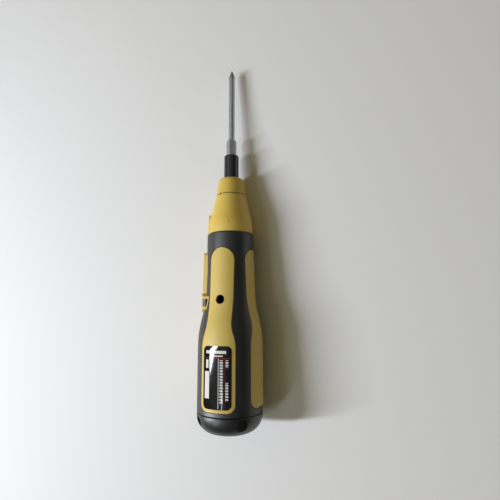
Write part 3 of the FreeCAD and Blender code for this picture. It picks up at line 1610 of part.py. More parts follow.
def build_all():
    """Builds every piece and returns them by name."""
    front_shell, back_shell = build_shells()
    front_grip, back_grip = build_grips()
    socket, pin = build_inlet()
    board, board_parts = build_board()
    carrier, output_carrier = build_carriers()
    spindle, magnet, spindle_clip = build_spindle()
    pieces = [front_shell, back_shell, front_grip, back_grip, build_label(), build_cap(), build_seal(),
              build_cone(), build_lock_ring(), build_ring_clip(), build_screws(),
              build_rocker(), build_rocker_pin(), build_skirt(), build_switch(), socket, pin,
              build_cage(), build_links(), build_contact_springs(), board, board_parts,
              carrier, output_carrier, build_gear_case(), spindle, magnet, spindle_clip, build_bit()]
    pieces += build_cells() + build_leads() + build_motor() + build_rotor() + build_bushes()
    pieces += build_planets(1, d.first_planets_start) + build_planets(2, d.second_planets_start)
    return pieces


def check_objects(pieces):
    """Stops before anything is written if an object failed or a piece has no sound shape."""
    for thing in DOCUMENT.Objects:
        if "Invalid" in thing.State or "Error" in thing.State:
            raise RuntimeError(f"{thing.Label} failed: {thing.State}")
    for piece in pieces:
        if piece.Shape.isNull() or not piece.Shape.isValid() or not piece.Shape.Solids:
            raise RuntimeError(f"{piece.Label} has no sound shape")


def write_pieces(pieces):
    os.makedirs("parts", exist_ok=True)
    for piece in pieces:
        piece.Shape.exportStep(f"parts/{piece.Label}.step")


PIECES = build_all()
DOCUMENT.recompute()
check_objects(PIECES)
write_pieces(PIECES)
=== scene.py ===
"""Looks for a cordless in-line screwdriver: finishes, label print and studio.

All lengths are in metres. The tool lies along Y with its bit towards +Y, the label faces +Z
and the switch faces -X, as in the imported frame.
"""
import math

import bmesh
import bpy
from bpy.props import FloatProperty, FloatVectorProperty, PointerProperty
from bpy.types import Operator, Panel, PropertyGroup
from mathutils import Matrix, Vector


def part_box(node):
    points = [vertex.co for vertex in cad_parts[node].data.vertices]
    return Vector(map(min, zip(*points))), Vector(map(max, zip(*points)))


bl_info = {
    "name": "Cordless in-line screwdriver",
    "version": (1, 0, 0),
    "blender": (4, 5, 0),
    "location": "View3D > Sidebar > Screwdriver",
    "description": "Finishes, label print and studio for a cordless in-line screwdriver",
    "category": "Object",
}

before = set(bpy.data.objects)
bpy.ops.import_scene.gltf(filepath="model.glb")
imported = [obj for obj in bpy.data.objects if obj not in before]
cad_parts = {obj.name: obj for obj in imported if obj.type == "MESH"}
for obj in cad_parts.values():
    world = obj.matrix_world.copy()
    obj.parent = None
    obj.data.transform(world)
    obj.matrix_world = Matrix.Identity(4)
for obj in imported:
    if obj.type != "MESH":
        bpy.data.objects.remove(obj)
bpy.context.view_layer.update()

MM = 0.001
ALONG = Vector((0, 1, 0))

# Scales of a pattern along X, Y and Z: drawn out along the tool, round it, or not at all
LENGTHWISE = (1.0, 0.15, 1.0)
ROUND_MARKS = (0.05, 1.0, 0.05)
EVEN_MARKS = (1, 1, 1)

LABEL_LOW, LABEL_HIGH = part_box("label_plate")
LABEL_REAR = LABEL_LOW[1]
LABEL_RADIUS = LABEL_HIGH[2]
SPINDLE_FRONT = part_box("spindle")[1][1]
RING_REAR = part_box("lock_ring")[0][1]
DC_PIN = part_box("dc_pin")
INLET_PLACE = (DC_PIN[0][1] + DC_PIN[1][1]) / 2
INLET_RADIUS = 3.05 * MM
BIT_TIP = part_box("phillips_bit")[1][1]


# Written shader maths

class Wire:
    """One output of a node, ready for written maths."""

    def __init__(self, finish, socket):
        self.finish = finish
        self.socket = socket

    def maths(self, operation, *others):
        """The result of one Math node, with this output as its first value."""
        values = dict(enumerate((self, *others)))
        return self.finish.node("ShaderNodeMath", {"operation": operation}, values)

    def __add__(self, other):
        return self.maths("ADD", other)

    __radd__ = __add__

    def __mul__(self, other):
        return self.maths("MULTIPLY", other)

    __rmul__ = __mul__

    def __sub__(self, other):
        return self.maths("SUBTRACT", other)

    def __rsub__(self, other):
        return self * -1 + other

    def __truediv__(self, other):
        return self.maths("DIVIDE", other)

    def __abs__(self):
        return self.maths("ABSOLUTE")

    def __mod__(self, other):
        return self.maths("FLOORED_MODULO", other)

    def above(self, limit):
        return self.maths("GREATER_THAN", limit)

    def below(self, limit):
        return self.maths("LESS_THAN", limit)

    def within(self, low, high):
        return self.above(low) * self.below(high)

    def or_else(self, other):
        return self.maths("MAXIMUM", other)

    def ramp(self, low, high):
        """0 up to low, 1 from high, smooth between them."""
        settings = {"interpolation_type": "SMOOTHSTEP"}
        return self.finish.node("ShaderNodeMapRange", settings,
                                {"Value": self, "From Min": low, "From Max": high})


class Finish:
    """A material, or the world, and the nodes that make its look."""

    # Where a Mix node of colours has its factor, its two colours and its result
    MIX_FACTOR, MIX_FIRST, MIX_SECOND, MIX_RESULT = 0, 6, 7, 2

    def __init__(self, owner):
        owner.use_nodes = True
        self.owner = owner
        self.tree = owner.node_tree
        self.tree.nodes.clear()
        self.spot = None

    def node(self, kind, settings=None, inputs=None, output=0):
        """Adds a node: its settings first, then the values and links of its sockets."""
        made = self.tree.nodes.new(kind)
        for name, value in (settings or {}).items():
            setattr(made, name, value)
        for key, value in (inputs or {}).items():
            socket = made.inputs[key]
            if isinstance(value, Wire):
                self.tree.links.new(value.socket, socket)
            elif socket.type == "RGBA":
                socket.default_value = (*value[:3], 1)
            else:
                socket.default_value = value
        return Wire(self, made.outputs[output]) if made.outputs else None

    def place(self):
        """The object's own coordinates."""
        if self.spot is None:
            self.spot = self.node("ShaderNodeTexCoord", output="Object")
        return self.spot

    def axis(self, name):
        return self.node("ShaderNodeSeparateXYZ", None, {0: self.place()}, name)

    def noise(self, size, detail=2.0, scales=None):
        """Noise whose features are about this long. A scale below 1 draws them out along that axis."""
        vector = self.place()
        if scales:
            vector = self.node("ShaderNodeVectorMath", {"operation": "MULTIPLY"}, {0: vector, 1: scales})
        inputs = {"Vector": vector, "Scale": 1 / size, "Detail": detail}
        return self.node("ShaderNodeTexNoise", None, inputs)

    def dots(self, spacing):
        """Distance to the nearest of the points that lie scattered about this far apart."""
        inputs = {"Vector": self.place(), "Scale": 1 / spacing}
        return self.node("ShaderNodeTexVoronoi", None, inputs, "Distance")

    def mix(self, factor, first, second):
        inputs = {self.MIX_FACTOR: factor, self.MIX_FIRST: first, self.MIX_SECOND: second}
        return self.node("ShaderNodeMix", {"data_type": "RGBA"}, inputs, self.MIX_RESULT)

    def mottle(self, pattern, colour, darkest, lightest):
        """One colour that goes between two of its shades with a pattern."""
        return self.mix(pattern, shade(colour, darkest), shade(colour, lightest))

    def bump(self, height, depth, under=None):
        """A normal from a height, where 1 stands for this depth in metres."""
        inputs = {"Height": height, "Distance": depth, "Strength": 1.0}
        if under is not None:
            inputs["Normal"] = under
        return self.node("ShaderNodeBump", None, inputs, "Normal")

    def surface(self, **inputs):
        """The closing shader. Names of sockets are written with underscores."""
        named = {name.replace("_", " "): value for name, value in inputs.items()}
        shader = self.node("ShaderNodeBsdfPrincipled", None, named)
        self.node("ShaderNodeOutputMaterial", None, {"Surface": shader})
        return self.owner


def new_finish(name):
    """A new material under this name, ready for its nodes."""
    return Finish(bpy.data.materials.new(name))


def shade(colour, factor):
    """A colour made darker or lighter by a factor."""
    return tuple(channel * factor for channel in colour)


def swing(pattern, amount):
    """A pattern from 0 to 1 turned into one from minus half the amount to plus half of it."""
    return (pattern - 0.5) * amount


# Settings

def colour_setting(name, description, default):
    return FloatVectorProperty(name=name, description=description, default=default,
                               subtype="COLOR", size=3, min=0.0, max=1.0)


def length_setting(name, description, default):
    return FloatProperty(name=name, description=description, default=default, unit="LENGTH", precision=6)


def angle_setting(name, description, degrees):
    return FloatProperty(name=name, description=description, default=math.radians(degrees), subtype="ANGLE")


class MouldingSettings(PropertyGroup):
    """The plastics and the rubber outside."""

    shell_colour: colour_setting("Shell", "Ochre plastic of the shells", (0.71, 0.525, 0.14))
    nose_colour: colour_setting("Nose", "Ochre plastic of the cone and lock ring", (0.78, 0.555, 0.12))
    rubber_colour: colour_setting("Rubber", "Soft grip", (0.008, 0.0085, 0.009))
    cap_colour: colour_setting("Cap", "End cap", (0.004, 0.004, 0.004))
    # Painted shade: the rocker's tan is darkened to the shade the button lies in.
    rocker_colour_with_painted_shade: colour_setting("Rocker", "Tan button of the switch", (0.21, 0.145, 0.062))
    inner_colour: colour_setting("Inner plastic", "Black mouldings inside", (0.016, 0.016, 0.017))
    shell_grain: length_setting("Shell grain", "Width of the grain of the shells", 0.28 * MM)
    rubber_grain: length_setting("Rubber grain", "Width of the grain of the grip", 0.36 * MM)
    parting_line: length_setting("Parting line", "Half width of the line between the shells", 0.07 * MM)


class LabelSettings(PropertyGroup):
    """The printed film on the front panel."""

    film_colour: colour_setting("Film", "Ground of the label", (0.004, 0.004, 0.004))
    print_colour: colour_setting("White print", "Bars and dashes", (0.78, 0.78, 0.76))
    film_lift: FloatProperty(name="Film lift", description="Slope of the film up to its front edge",
                             default=0.044)
    film_lean: FloatProperty(name="Film lean", description="Slope of the film up to its right edge",
                             default=0.11)
    rule_colour: colour_setting("Red rule", "Line across the label", (0.23, 0.028, 0.02))
    line_width: length_setting("Line width", "Width of the thin printed lines", 0.55 * MM)
    dash_length: length_setting("Dash length", "Pitch of the printed dashes", 1.7 * MM)


class MetalSettings(PropertyGroup):
    """The spindle, the bit and the metals inside."""

    spindle_colour: colour_setting("Spindle", "Black oxide", (0.020, 0.020, 0.022))
    bit_colour: colour_setting("Bit", "Ground tool steel", (0.64, 0.64, 0.655))
    steel_colour: colour_setting("Bright steel", "Motor can, clips and pin", (0.62, 0.62, 0.61))
    gear_colour: colour_setting("Gear steel", "Sintered gears, oiled", (0.33, 0.32, 0.30))
    copper_colour: colour_setting("Copper", "Windings and brushes", (0.64, 0.27, 0.13))
    bronze_colour: colour_setting("Bronze", "Bushes and pinion", (0.50, 0.31, 0.13))


class StudioSettings(PropertyGroup):
    """Camera, lamps and floor."""

    camera_turn: angle_setting("Camera turn", "Turn of the camera about the tool from the label", 23.5)
    camera_pitch: angle_setting("Camera pitch", "Tilt of the view towards the bit", 8.9)
    camera_yaw: angle_setting("Camera yaw", "Swing of the view to the right", 2.81)
    camera_roll: angle_setting("Camera roll", "Roll of the camera", 0.35)
    camera_height: length_setting("Camera height", "Distance of the camera from the tool's axis", 0.2727)
    camera_foot: length_setting("Camera foot", "Place along the tool that the camera stands over", 0.0782)
    lens_length: FloatProperty(name="Lens", description="Focal length in millimetres, on a sensor of 36",
                               default=28.0)
    floor_reach: length_setting("Floor reach", "Half the side of the floor", 1.5)
    floor_tilt: angle_setting("Floor tilt", "Slope of the floor under the slimmer front", 4.4)
    floor_contact: length_setting("Floor contact", "Place along the tool where it rests", 0.0562)
    main_power: FloatProperty(name="Main lamp power", description="Watts of the lamp beside the tool",
                              default=9.2)
    second_power: FloatProperty(name="Second lamp power", description="Watts of the lamp behind the butt",
                                default=1.15)
    lamp_length: length_setting("Lamp length", "Length of both lamps, across the tool", 0.50)
    lamp_width: length_setting("Lamp width", "Width of both lamps, along the tool", 0.056)
    lamp_distance: length_setting("Lamp distance", "Distance of both lamps", 1.0)
    lamp_colour: colour_setting("Lamp colour", "Cool tint of both lamps", (0.88, 0.92, 1.0))
    room_light: FloatProperty(name="Room light", description="Strength of the light from all round",
                              default=0.10)
    room_colour: colour_setting("Room colour", "Tint of the light from all round", (1.0, 0.86, 0.44))
    room_gloss: FloatProperty(name="Room gloss", description="Brightness of the patch in reflections",
                              default=0.40)
    room_tone: FloatProperty(name="Room tone", description="Brightness of the backdrop", default=0.72)
    floor_colour: colour_setting("Floor", "Pale matt board", (0.80, 0.80, 0.81))


SETTINGS = {
    "moulding": MouldingSettings,
    "label": LabelSettings,
    "metal": MetalSettings,
    "studio": StudioSettings,
}


def settings(group):
    """One group of settings, as the scene holds it."""
    return getattr(bpy.context.scene, "screwdriver_" + group)


def dress(material, *nodes):
    """Puts a material on CAD nodes, in the slots of their objects."""
    for name in nodes:
        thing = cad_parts[name]
        if not thing.material_slots:
            raise RuntimeError(f"{name} has no material slot")
        for slot in thing.material_slots:
            slot.material = material


# Finishes

FLOW_LENGTH = 14 * MM
GRAIN_DEPTH = 0.012 * MM
PIT_DEPTH = 0.02 * MM
LINE_DEPTH = 0.05 * MM
SEAM_WIDTH = 0.2 * MM
DUST_SPECK = 1.1 * MM
DUST = (0.10, 0.095, 0.09)


def near_split(finish, half_width):
    """1 on the line where the two halves of the housing meet, 0 beside it."""
    return 1 - abs(finish.axis("Z")).ramp(half_width * 0.5, half_width * 1.5)


def near_seam(finish):
    """1 in the seam between the cone and the lock ring, 0 beside it."""
    return 1 - abs(finish.axis("Y") - RING_REAR).ramp(SEAM_WIDTH, SEAM_WIDTH * 3)


def inlet_painted_shade(finish):
    """1 inside the charging inlet's bore, where shade is painted, 0 elsewhere."""
    across, along = finish.axis("X"), finish.axis("Y") - INLET_PLACE
    inside = (across * across + along * along).below(INLET_RADIUS * INLET_RADIUS)
    return finish.axis("Z").above(0) * inside


def grained_plastic(name, colour, grain, roughness, parting_line=0.0, seam=False, inlet=False,
                    specular=0.4):
    """Moulded plastic with a fine grain and faint flow marks, darker along an optional parting line
    and in the cone's seam, with painted shade inside the charging inlet.
    """
    finish = new_finish(name)
    flow = finish.noise(FLOW_LENGTH, 3.0, (1.0, 0.35, 1.0))
    fine = finish.noise(grain)
    tone = finish.mottle(flow, colour, 0.94, 1.05)
    tone = finish.mix(fine.ramp(0.35, 0.75) * 0.12, tone, shade(colour, 0.8))
    normal = finish.bump(fine, GRAIN_DEPTH)
    gloss = roughness + swing(flow, 0.12) + swing(fine, 0.08)
    if parting_line:
        line = near_split(finish, parting_line)
        tone = finish.mix(line * 0.65, tone, shade(colour, 0.3))
        normal = finish.bump(1 - line, LINE_DEPTH, normal)
    if seam:
        tone = finish.mix(near_seam(finish) * 0.75, tone, shade(colour, 0.18))
    # Painted shade: the plastic inside the charging inlet's bore is darkened as the shade of the recess.
    if inlet:
        tone = finish.mix(inlet_painted_shade(finish), tone, shade(colour, 0.16))
    return finish.surface(Base_Color=tone, Roughness=gloss, Normal=normal, Specular_IOR_Level=specular)


def rubber(name, colour, grain, parting_line=0.0):
    """Soft moulded rubber: matt, finely pitted, with a little dust in it."""
    finish = new_finish(name)
    patches = finish.noise(9 * MM, 3.0)
    fine = finish.noise(grain, 3.0)
    dust = finish.noise(DUST_SPECK, 4.0).ramp(0.66, 0.76) * 0.10
    tone = finish.mottle(patches, colour, 0.85, 1.2)
    tone = finish.mix(dust, tone, DUST)
    normal = finish.bump(fine, PIT_DEPTH)
    gloss = 0.45 + swing(patches, 0.10) + swing(fine, 0.12)
    if parting_line:
        line = near_split(finish, parting_line)
        tone = finish.mix(line * 0.6, tone, shade(colour, 0.2))
        normal = finish.bump(1 - line, LINE_DEPTH, normal)
    return finish.surface(Base_Color=tone, Roughness=gloss, Normal=normal, Specular_IOR_Level=1.0)


# Left, right, rear and front of the print in millimetres, from the label's middle and its rear edge
PRINTED_BARS = (
    (-7.6, -5.6, 24.7, 29.9),
    (-8.5, -4.9, 6.3, 22.7),
    (-7.6, 6.6, 33.7, 35.5),
    (-4.2, 4.4, 31.9, 32.6),
)
DASHED_COLUMNS = (
    (2.5, 4.6, 3.9, 29.9),
    (6.2, 8.1, 25.3, 29.9),
    (6.2, 8.1, 5.7, 16.3),
)
RULE_ACROSS = (-9.1, 9.1, 30.8, 31.2)
GREY_RULE_PLACE = 1.6
DARK_RULE_PLACE = 5.4
RULE_REAR, RULE_FRONT = 0.7, 30.8

# Shares of a pitch that the dashes leave bare, along the label and across it
DASH_GAP = 0.34
STRIPE_GAP = 0.12

STRIPE_PITCH_IN_LINES = 1.6
WORN_INK_LEAST = 0.75


def printed(across, along, *bars):
    """A mask of printed bars."""
    mask = None
    for left, right, rear, front in bars:
        bar = across.within(left * MM, right * MM) * along.within(rear * MM, front * MM)
        mask = bar if mask is None else mask.or_else(bar)
    return mask


def rule_along(place, width):
    """The bar of a rule that runs along the label at this place across it."""
    half = width / 2 / MM
    return place - half, place + half, RULE_REAR, RULE_FRONT


def label_film():
    """Black film with white bars and dashes, a red rule across and two rules along."""
    look = settings("label")
    finish = new_finish("label_film")
    along = finish.axis("Y") - LABEL_REAR
    across = finish.axis("X").maths("ARCTAN2", finish.axis("Z")) * LABEL_RADIUS
    worn = finish.noise(0.35 * MM, 3.0).ramp(0.28, 0.42) * (1 - WORN_INK_LEAST) + WORN_INK_LEAST
    dash = (along / look.dash_length % 1.0).above(DASH_GAP)
    stripe = (across / (look.line_width * STRIPE_PITCH_IN_LINES) % 1.0).above(STRIPE_GAP)
    bars = printed(across, along, *PRINTED_BARS)
    dashes = printed(across, along, *DASHED_COLUMNS) * dash * stripe
    grey_rule = printed(across, along, rule_along(GREY_RULE_PLACE, look.line_width))
    dark_rule = printed(across, along, rule_along(DARK_RULE_PLACE, look.line_width))
    red_rule = printed(across, along, RULE_ACROSS)
    tone = finish.mottle(finish.noise(6 * MM), look.film_colour, 1.0, 1.35)
    tone = finish.mix(bars.or_else(dashes) * worn, tone, look.print_colour)
    tone = finish.mix(grey_rule * worn, tone, shade(look.print_colour, 0.62))
    tone = finish.mix(dark_rule * worn, tone, shade(look.rule_colour, 0.35))
    tone = finish.mix(red_rule * worn, tone, look.rule_colour)
    lifted = finish.bump(along * look.film_lift + finish.axis("X") * look.film_lean, 1.0)
    ripple = finish.bump(finish.noise(5 * MM, 1.0), 0.012 * MM, lifted)
    gloss = 0.06 + finish.noise(3 * MM, 3.0) * 0.04
    return finish.surface(Base_Color=tone, Roughness=gloss, Normal=ripple, Specular_IOR_Level=0.3)


def worked_metal(name, colour, roughness, size, scales, depth=0.004 * MM, metallic=1.0, stain=0.25):
    """Metal with tool marks of this size, drawn out the way it was worked, and light stains."""
    finish = new_finish(name)
    marks = finish.noise(size, 3.0, scales)
    stains = finish.noise(4 * MM, 4.0).ramp(0.42, 0.70)
    tone = finish.mottle(marks, colour, 0.86, 1.1)
    tone = finish.mix(stains * stain, tone, shade(colour, 0.55))
    gloss = roughness + swing(marks, 0.16) + stains * 0.08
    return finish.surface(Base_Color=tone, Roughness=gloss, Metallic=metallic,
                          Normal=finish.bump(marks, depth))


RUBBED_OXIDE = (0.16, 0.155, 0.15)
RIM_WEAR = 1.3 * MM
HARDENED_TIP = 9 * MM


def spindle_steel():
    """Black oxide over turned steel, rubbed bright at the front rim."""
    look = settings("metal")
    finish = new_finish("spindle_black_oxide")
    turning = finish.noise(0.22 * MM, 2.0, (0.02, 1.0, 0.02))
    stains = finish.noise(2.5 * MM, 4.0)
    rim = finish.axis("Y").ramp(SPINDLE_FRONT - RIM_WEAR, SPINDLE_FRONT - 0.2 * MM)
    rubbed = rim * finish.noise(0.5 * MM, 3.0).ramp(0.35, 0.65)
    tone = finish.mottle(stains, look.spindle_colour, 0.75, 1.4)
    tone = finish.mix(rubbed * 0.5, tone, RUBBED_OXIDE)
    gloss = 0.24 + swing(turning, 0.14) + swing(stains, 0.1)
    return finish.surface(Base_Color=tone, Roughness=gloss, Metallic=0.15, Specular_IOR_Level=0.9,
                          Normal=finish.bump(turning, 0.008 * MM))


def bit_steel():
    """Lengthwise ground steel with a darker, hardened cross tip."""
    look = settings("metal")
    finish = new_finish("bit_ground_steel")
    grinding = finish.noise(0.18 * MM, 3.0, (1.0, 0.03, 1.0))
    stains = finish.noise(3 * MM, 4.0).ramp(0.45, 0.72)
    tip = finish.axis("Y").ramp(BIT_TIP - HARDENED_TIP, BIT_TIP - 4 * MM)
    tone = finish.mottle(grinding, look.bit_colour, 0.8, 1.15)
    tone = finish.mix(stains * 0.2, tone, shade(look.bit_colour, 0.5))
    tone = finish.mix(tip * 0.55, tone, shade(look.bit_colour, 0.45))
    gloss = 0.38 + swing(grinding, 0.2) + tip * 0.08
    return finish.surface(Base_Color=tone, Roughness=gloss, Metallic=0.9,
                          Normal=finish.bump(grinding, 0.006 * MM))


CELL_BLUE = (0.02, 0.075, 0.24)
CELL_PRINT = (0.62, 0.62, 0.6)
CELL_CAN = (0.5, 0.49, 0.46)
BAND_REAR, BAND_FRONT = 12 * MM, 15 * MM
STREAK_REAR, STREAK_FRONT = 16 * MM, 16.5 * MM
BARE_FRONT = 1.1 * MM
BARE_REAR = 0.1 * MM


def cell_wrap():
    """Shrink film over a cell: blue, with a pale band and a thin line beside it, and bare ends."""
    finish = new_finish("cell_wrap")
    along = finish.axis("Y")
    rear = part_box("cell_a")[0][1]
    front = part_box("cell_a")[1][1]
    band = along.within(rear + BAND_REAR, rear + BAND_FRONT)
    streak = along.within(rear + STREAK_REAR, rear + STREAK_FRONT)
    bare = along.above(front - BARE_FRONT).or_else(along.below(rear + BARE_REAR))
    tone = finish.mottle(finish.noise(8 * MM), CELL_BLUE, 0.85, 1.15)
    tone = finish.mix(band.or_else(streak), tone, CELL_PRINT)
    tone = finish.mix(bare, tone, CELL_CAN)
    creases = finish.noise(1.6 * MM, 2.0, (1.0, 0.2, 1.0))
    return finish.surface(Base_Color=tone, Roughness=0.24 + creases * 0.1, Metallic=bare * 0.9,
                          Normal=finish.bump(creases, 0.03 * MM))


BOARD_GREEN = (0.012, 0.12, 0.045)
TIN = (0.55, 0.54, 0.5)
TRACK_PITCH = 2.6 * MM
PAD_SPACING = 3.1 * MM


def solder_mask():
    """Green board with copper tracks under the mask and tinned pads."""
    finish = new_finish("board_green")
    lengthwise = (finish.axis("X") / TRACK_PITCH % 1.0).below(0.22)
    crosswise = (finish.axis("Z") / TRACK_PITCH % 1.0).below(0.14)
    broken = lengthwise.or_else(crosswise) * finish.noise(5 * MM, 1.0).above(0.48)
    pads = finish.dots(PAD_SPACING).below(0.16)
    tone = finish.mottle(broken * 0.6, BOARD_GREEN, 1.0, 2.0)
    tone = finish.mix(pads, tone, TIN)
    normal = finish.bump(broken.or_else(pads), 0.03 * MM)
    return finish.surface(Base_Color=tone, Roughness=0.3 + finish.noise(1.5 * MM) * 0.1,
                          Metallic=pads * 0.8, Normal=normal)


def insulation(name, colour):
    """Soft drawn insulation of a lead."""
    finish = new_finish(name)
    drawn = finish.noise(0.6 * MM, 2.0, LENGTHWISE)
    tone = finish.mottle(drawn, colour, 0.85, 1.1)
    return finish.surface(Base_Color=tone, Roughness=0.38 + drawn * 0.12,
                          Normal=finish.bump(drawn, 0.01 * MM))


WIRE_THICKNESS = 0.35 * MM


def wound_copper(colour):
    """Enamelled wire, wound across the poles, with painted shade in the grooves between the turns."""
    finish = new_finish("winding_copper")
    turn = (finish.axis("Y") / WIRE_THICKNESS % 1.0 - 0.5) * 2
    crest_and_painted_shade = 1 - turn * turn
    # Painted shade: the copper darkens towards the grooves between turns and stays full on the crests.
    tone = finish.mix(crest_and_painted_shade, shade(colour, 0.45), colour)
    return finish.surface(Base_Color=tone, Roughness=0.28 + finish.noise(1 * MM) * 0.1, Metallic=0.85,
                          Normal=finish.bump(crest_and_painted_shade, 0.08 * MM))


# Pieces

MAGNET_NICKEL = (0.6, 0.58, 0.54)
STRIP_NICKEL = (0.58, 0.56, 0.52)
FERRITE = (0.045, 0.045, 0.048)
CARBON = (0.05, 0.045, 0.04)
LEAD_RED = (0.42, 0.02, 0.016)
LEAD_BLACK = (0.018, 0.018, 0.018)


class ShellsOperator(Operator):
    """Give the two shells their grained ochre plastic and parting line"""

    bl_idname = "screwdriver.shells"
    bl_label = "Shells"

    def execute(self, context):
        look = settings("moulding")
        # inlet=True paints shade inside the charging inlet's bore.
        plastic = grained_plastic("shell_ochre", look.shell_colour, look.shell_grain, 0.46,
                                  parting_line=look.parting_line, inlet=True)
        dress(plastic, "front_shell", "back_shell")
        return {"FINISHED"}


class NoseOperator(Operator):
    """Give the cone and the lock ring their ochre plastic"""

    bl_idname = "screwdriver.nose"
    bl_label = "Cone and lock ring"

    def execute(self, context):
        look = settings("moulding")
        dress(grained_plastic("cone_ochre", look.nose_colour, look.shell_grain, 0.46, seam=True),
              "nose_cone")
        dress(grained_plastic("ring_ochre", shade(look.nose_colour, 0.93), look.shell_grain, 0.44,
                              seam=True), "lock_ring")
        return {"FINISHED"}


class GripOperator(Operator):
    """Give the rubber halves and the cap's seal their soft black"""

    bl_idname = "screwdriver.grip"
    bl_label = "Rubber grip"

    def execute(self, context):
        look = settings("moulding")
        dress(rubber("grip_rubber", look.rubber_colour, look.rubber_grain, look.parting_line),
              "front_grip", "back_grip")
        dress(rubber("seal_rubber", shade(look.rubber_colour, 0.6), look.rubber_grain), "cap_seal")
        return {"FINISHED"}


class CapOperator(Operator):
    """Give the end cap its glossier charcoal plastic"""

    bl_idname = "screwdriver.cap"
    bl_label = "End cap"

    def execute(self, context):
        look = settings("moulding")
        dress(grained_plastic("cap_charcoal", look.cap_colour, look.shell_grain, 0.40, specular=0.9),
              "rear_cap")
        return {"FINISHED"}


class LabelOperator(Operator):
    """Print the film on the front panel"""

    bl_idname = "screwdriver.label"
    bl_label = "Label"

    def execute(self, context):
        dress(label_film(), "label_plate")
        return {"FINISHED"}


class SwitchOperator(Operator):
    """Finish the rocker, its pin, its skirt and the switch block"""

    bl_idname = "screwdriver.switch"
    bl_label = "Switch"

    def execute(self, context):
        look = settings("moulding")
        # The rocker's colour carries painted shade.
        dress(grained_plastic("rocker_tan", look.rocker_colour_with_painted_shade, look.shell_grain, 0.42), "rocker")
        dress(rubber("skirt_rubber", shade(look.rubber_colour, 1.6), look.rubber_grain), "switch_skirt")
        dress(grained_plastic("switch_black", look.inner_colour, look.shell_grain, 0.4), "switch_body")
        return {"FINISHED"}


class InletOperator(Operator):
    """Finish the charging inlet and its pin"""

    bl_idname = "screwdriver.inlet"
    bl_label = "Charging inlet"

    def execute(self, context):
        look = settings("moulding")
        dress(grained_plastic("inlet_black", look.inner_colour, look.shell_grain, 0.35), "dc_socket")
        # Painted shade: the pin's steel is darkened to 0.35 as the shade of the deep hole it stands in.
        pin = shade(settings("metal").steel_colour, 0.35)
        dress(worked_metal("inlet_pin_painted_shade", pin, 0.45, 0.3 * MM, (0.05, 0.05, 1.0)), "dc_pin")
        return {"FINISHED"}


class BitOperator(Operator):
    """Finish the spindle, its clip and magnet and the cross-tip bit"""

    bl_idname = "screwdriver.bit"
    bl_label = "Spindle and bit"

    def execute(self, context):
        look = settings("metal")
        dress(spindle_steel(), "spindle")
        dress(bit_steel(), "phillips_bit")
        dress(worked_metal("clip_steel", shade(look.steel_colour, 0.6), 0.3, 0.3 * MM, (1, 0.1, 1)),
              "spindle_clip", "ring_clip")
        dress(worked_metal("magnet_nickel", MAGNET_NICKEL, 0.18, 1.5 * MM, EVEN_MARKS), "bit_magnet")
        return {"FINISHED"}


class BatteryOperator(Operator):
    """Finish the cells, their cage and links and the two contact strips"""

    bl_idname = "screwdriver.battery"
    bl_label = "Battery"

    def execute(self, context):
        look = settings("moulding")
        dress(cell_wrap(), "cell_a", "cell_b", "cell_c")
        dress(grained_plastic("cage_black", look.inner_colour, look.shell_grain, 0.5), "battery_cage")
        dress(worked_metal("strip_nickel", STRIP_NICKEL, 0.28, 0.4 * MM, (0.1, 1, 1)),
              "cell_links", "contact_springs")
        return {"FINISHED"}


class ElectronicsOperator(Operator):
    """Finish the board, its parts and the two leads"""

    bl_idname = "screwdriver.electronics"
    bl_label = "Board and leads"

    def execute(self, context):
        look = settings("moulding")
        dress(solder_mask(), "circuit_board")
        dress(grained_plastic("component_black", look.inner_colour, 0.15 * MM, 0.55), "board_parts")
        dress(insulation("lead_red", LEAD_RED), "lead_red")
        dress(insulation("lead_black", LEAD_BLACK), "lead_black")
        return {"FINISHED"}


class MotorOperator(Operator):
    """Finish the motor's can, magnets, rotor and windings"""

    bl_idname = "screwdriver.motor"
    bl_label = "Motor"

    def execute(self, context):
        look = settings("metal")
        black = settings("moulding").inner_colour
        dress(worked_metal("can_plated", look.steel_colour, 0.25, 0.5 * MM, ROUND_MARKS),
              "motor_can", "motor_plate")
        dress(worked_metal("shaft_ground", shade(look.steel_colour, 1.1), 0.16, 0.2 * MM, ROUND_MARKS),
              "motor_shaft")
        dress(grained_plastic("end_bell_black", black, 0.3 * MM, 0.45), "motor_end_bell")
        dress(worked_metal("magnet_ferrite", FERRITE, 0.7, 0.25 * MM, EVEN_MARKS,
                           depth=0.02 * MM, metallic=0.0), "motor_magnets")
        dress(worked_metal("lamination_stack", shade(look.steel_colour, 0.55), 0.42, 0.35 * MM,
                           (0.01, 1.0, 0.01), depth=0.05 * MM), "armature")
        dress(wound_copper(look.copper_colour), "windings")
        dress(worked_metal("commutator_copper", look.copper_colour, 0.3, 0.2 * MM, ROUND_MARKS),
              "commutator", "motor_terminals")
        dress(worked_metal("brush_carbon", CARBON, 0.6, 0.25 * MM, (1, 1, 0.1),
                           metallic=0.3), "brushes")
        return {"FINISHED"}


class GearsOperator(Operator):
    """Finish the gears, carriers, bushes and gear case"""

    bl_idname = "screwdriver.gears"
    bl_label = "Gears"

    def execute(self, context):
        look = settings("metal")
        planets = [f"planet_{stage}{letter}" for stage in (1, 2) for letter in "abc"]
        dress(worked_metal("gear_sintered", look.gear_colour, 0.38, 0.3 * MM, EVEN_MARKS,
                           depth=0.01 * MM, stain=0.4), *planets, "carrier_1", "output_carrier")
        dress(worked_metal("bush_bronze", look.bronze_colour, 0.34, 0.3 * MM, (0.1, 1.0, 0.1)),
              "rear_bush", "front_bush", "pinion")
        dress(worked_metal("washer_steel", look.steel_colour, 0.3, 0.4 * MM, EVEN_MARKS), "stage_washer")
        dress(grained_plastic("gear_case_black", settings("moulding").inner_colour, 0.3 * MM, 0.48),
              "gear_case")
        return {"FINISHED"}


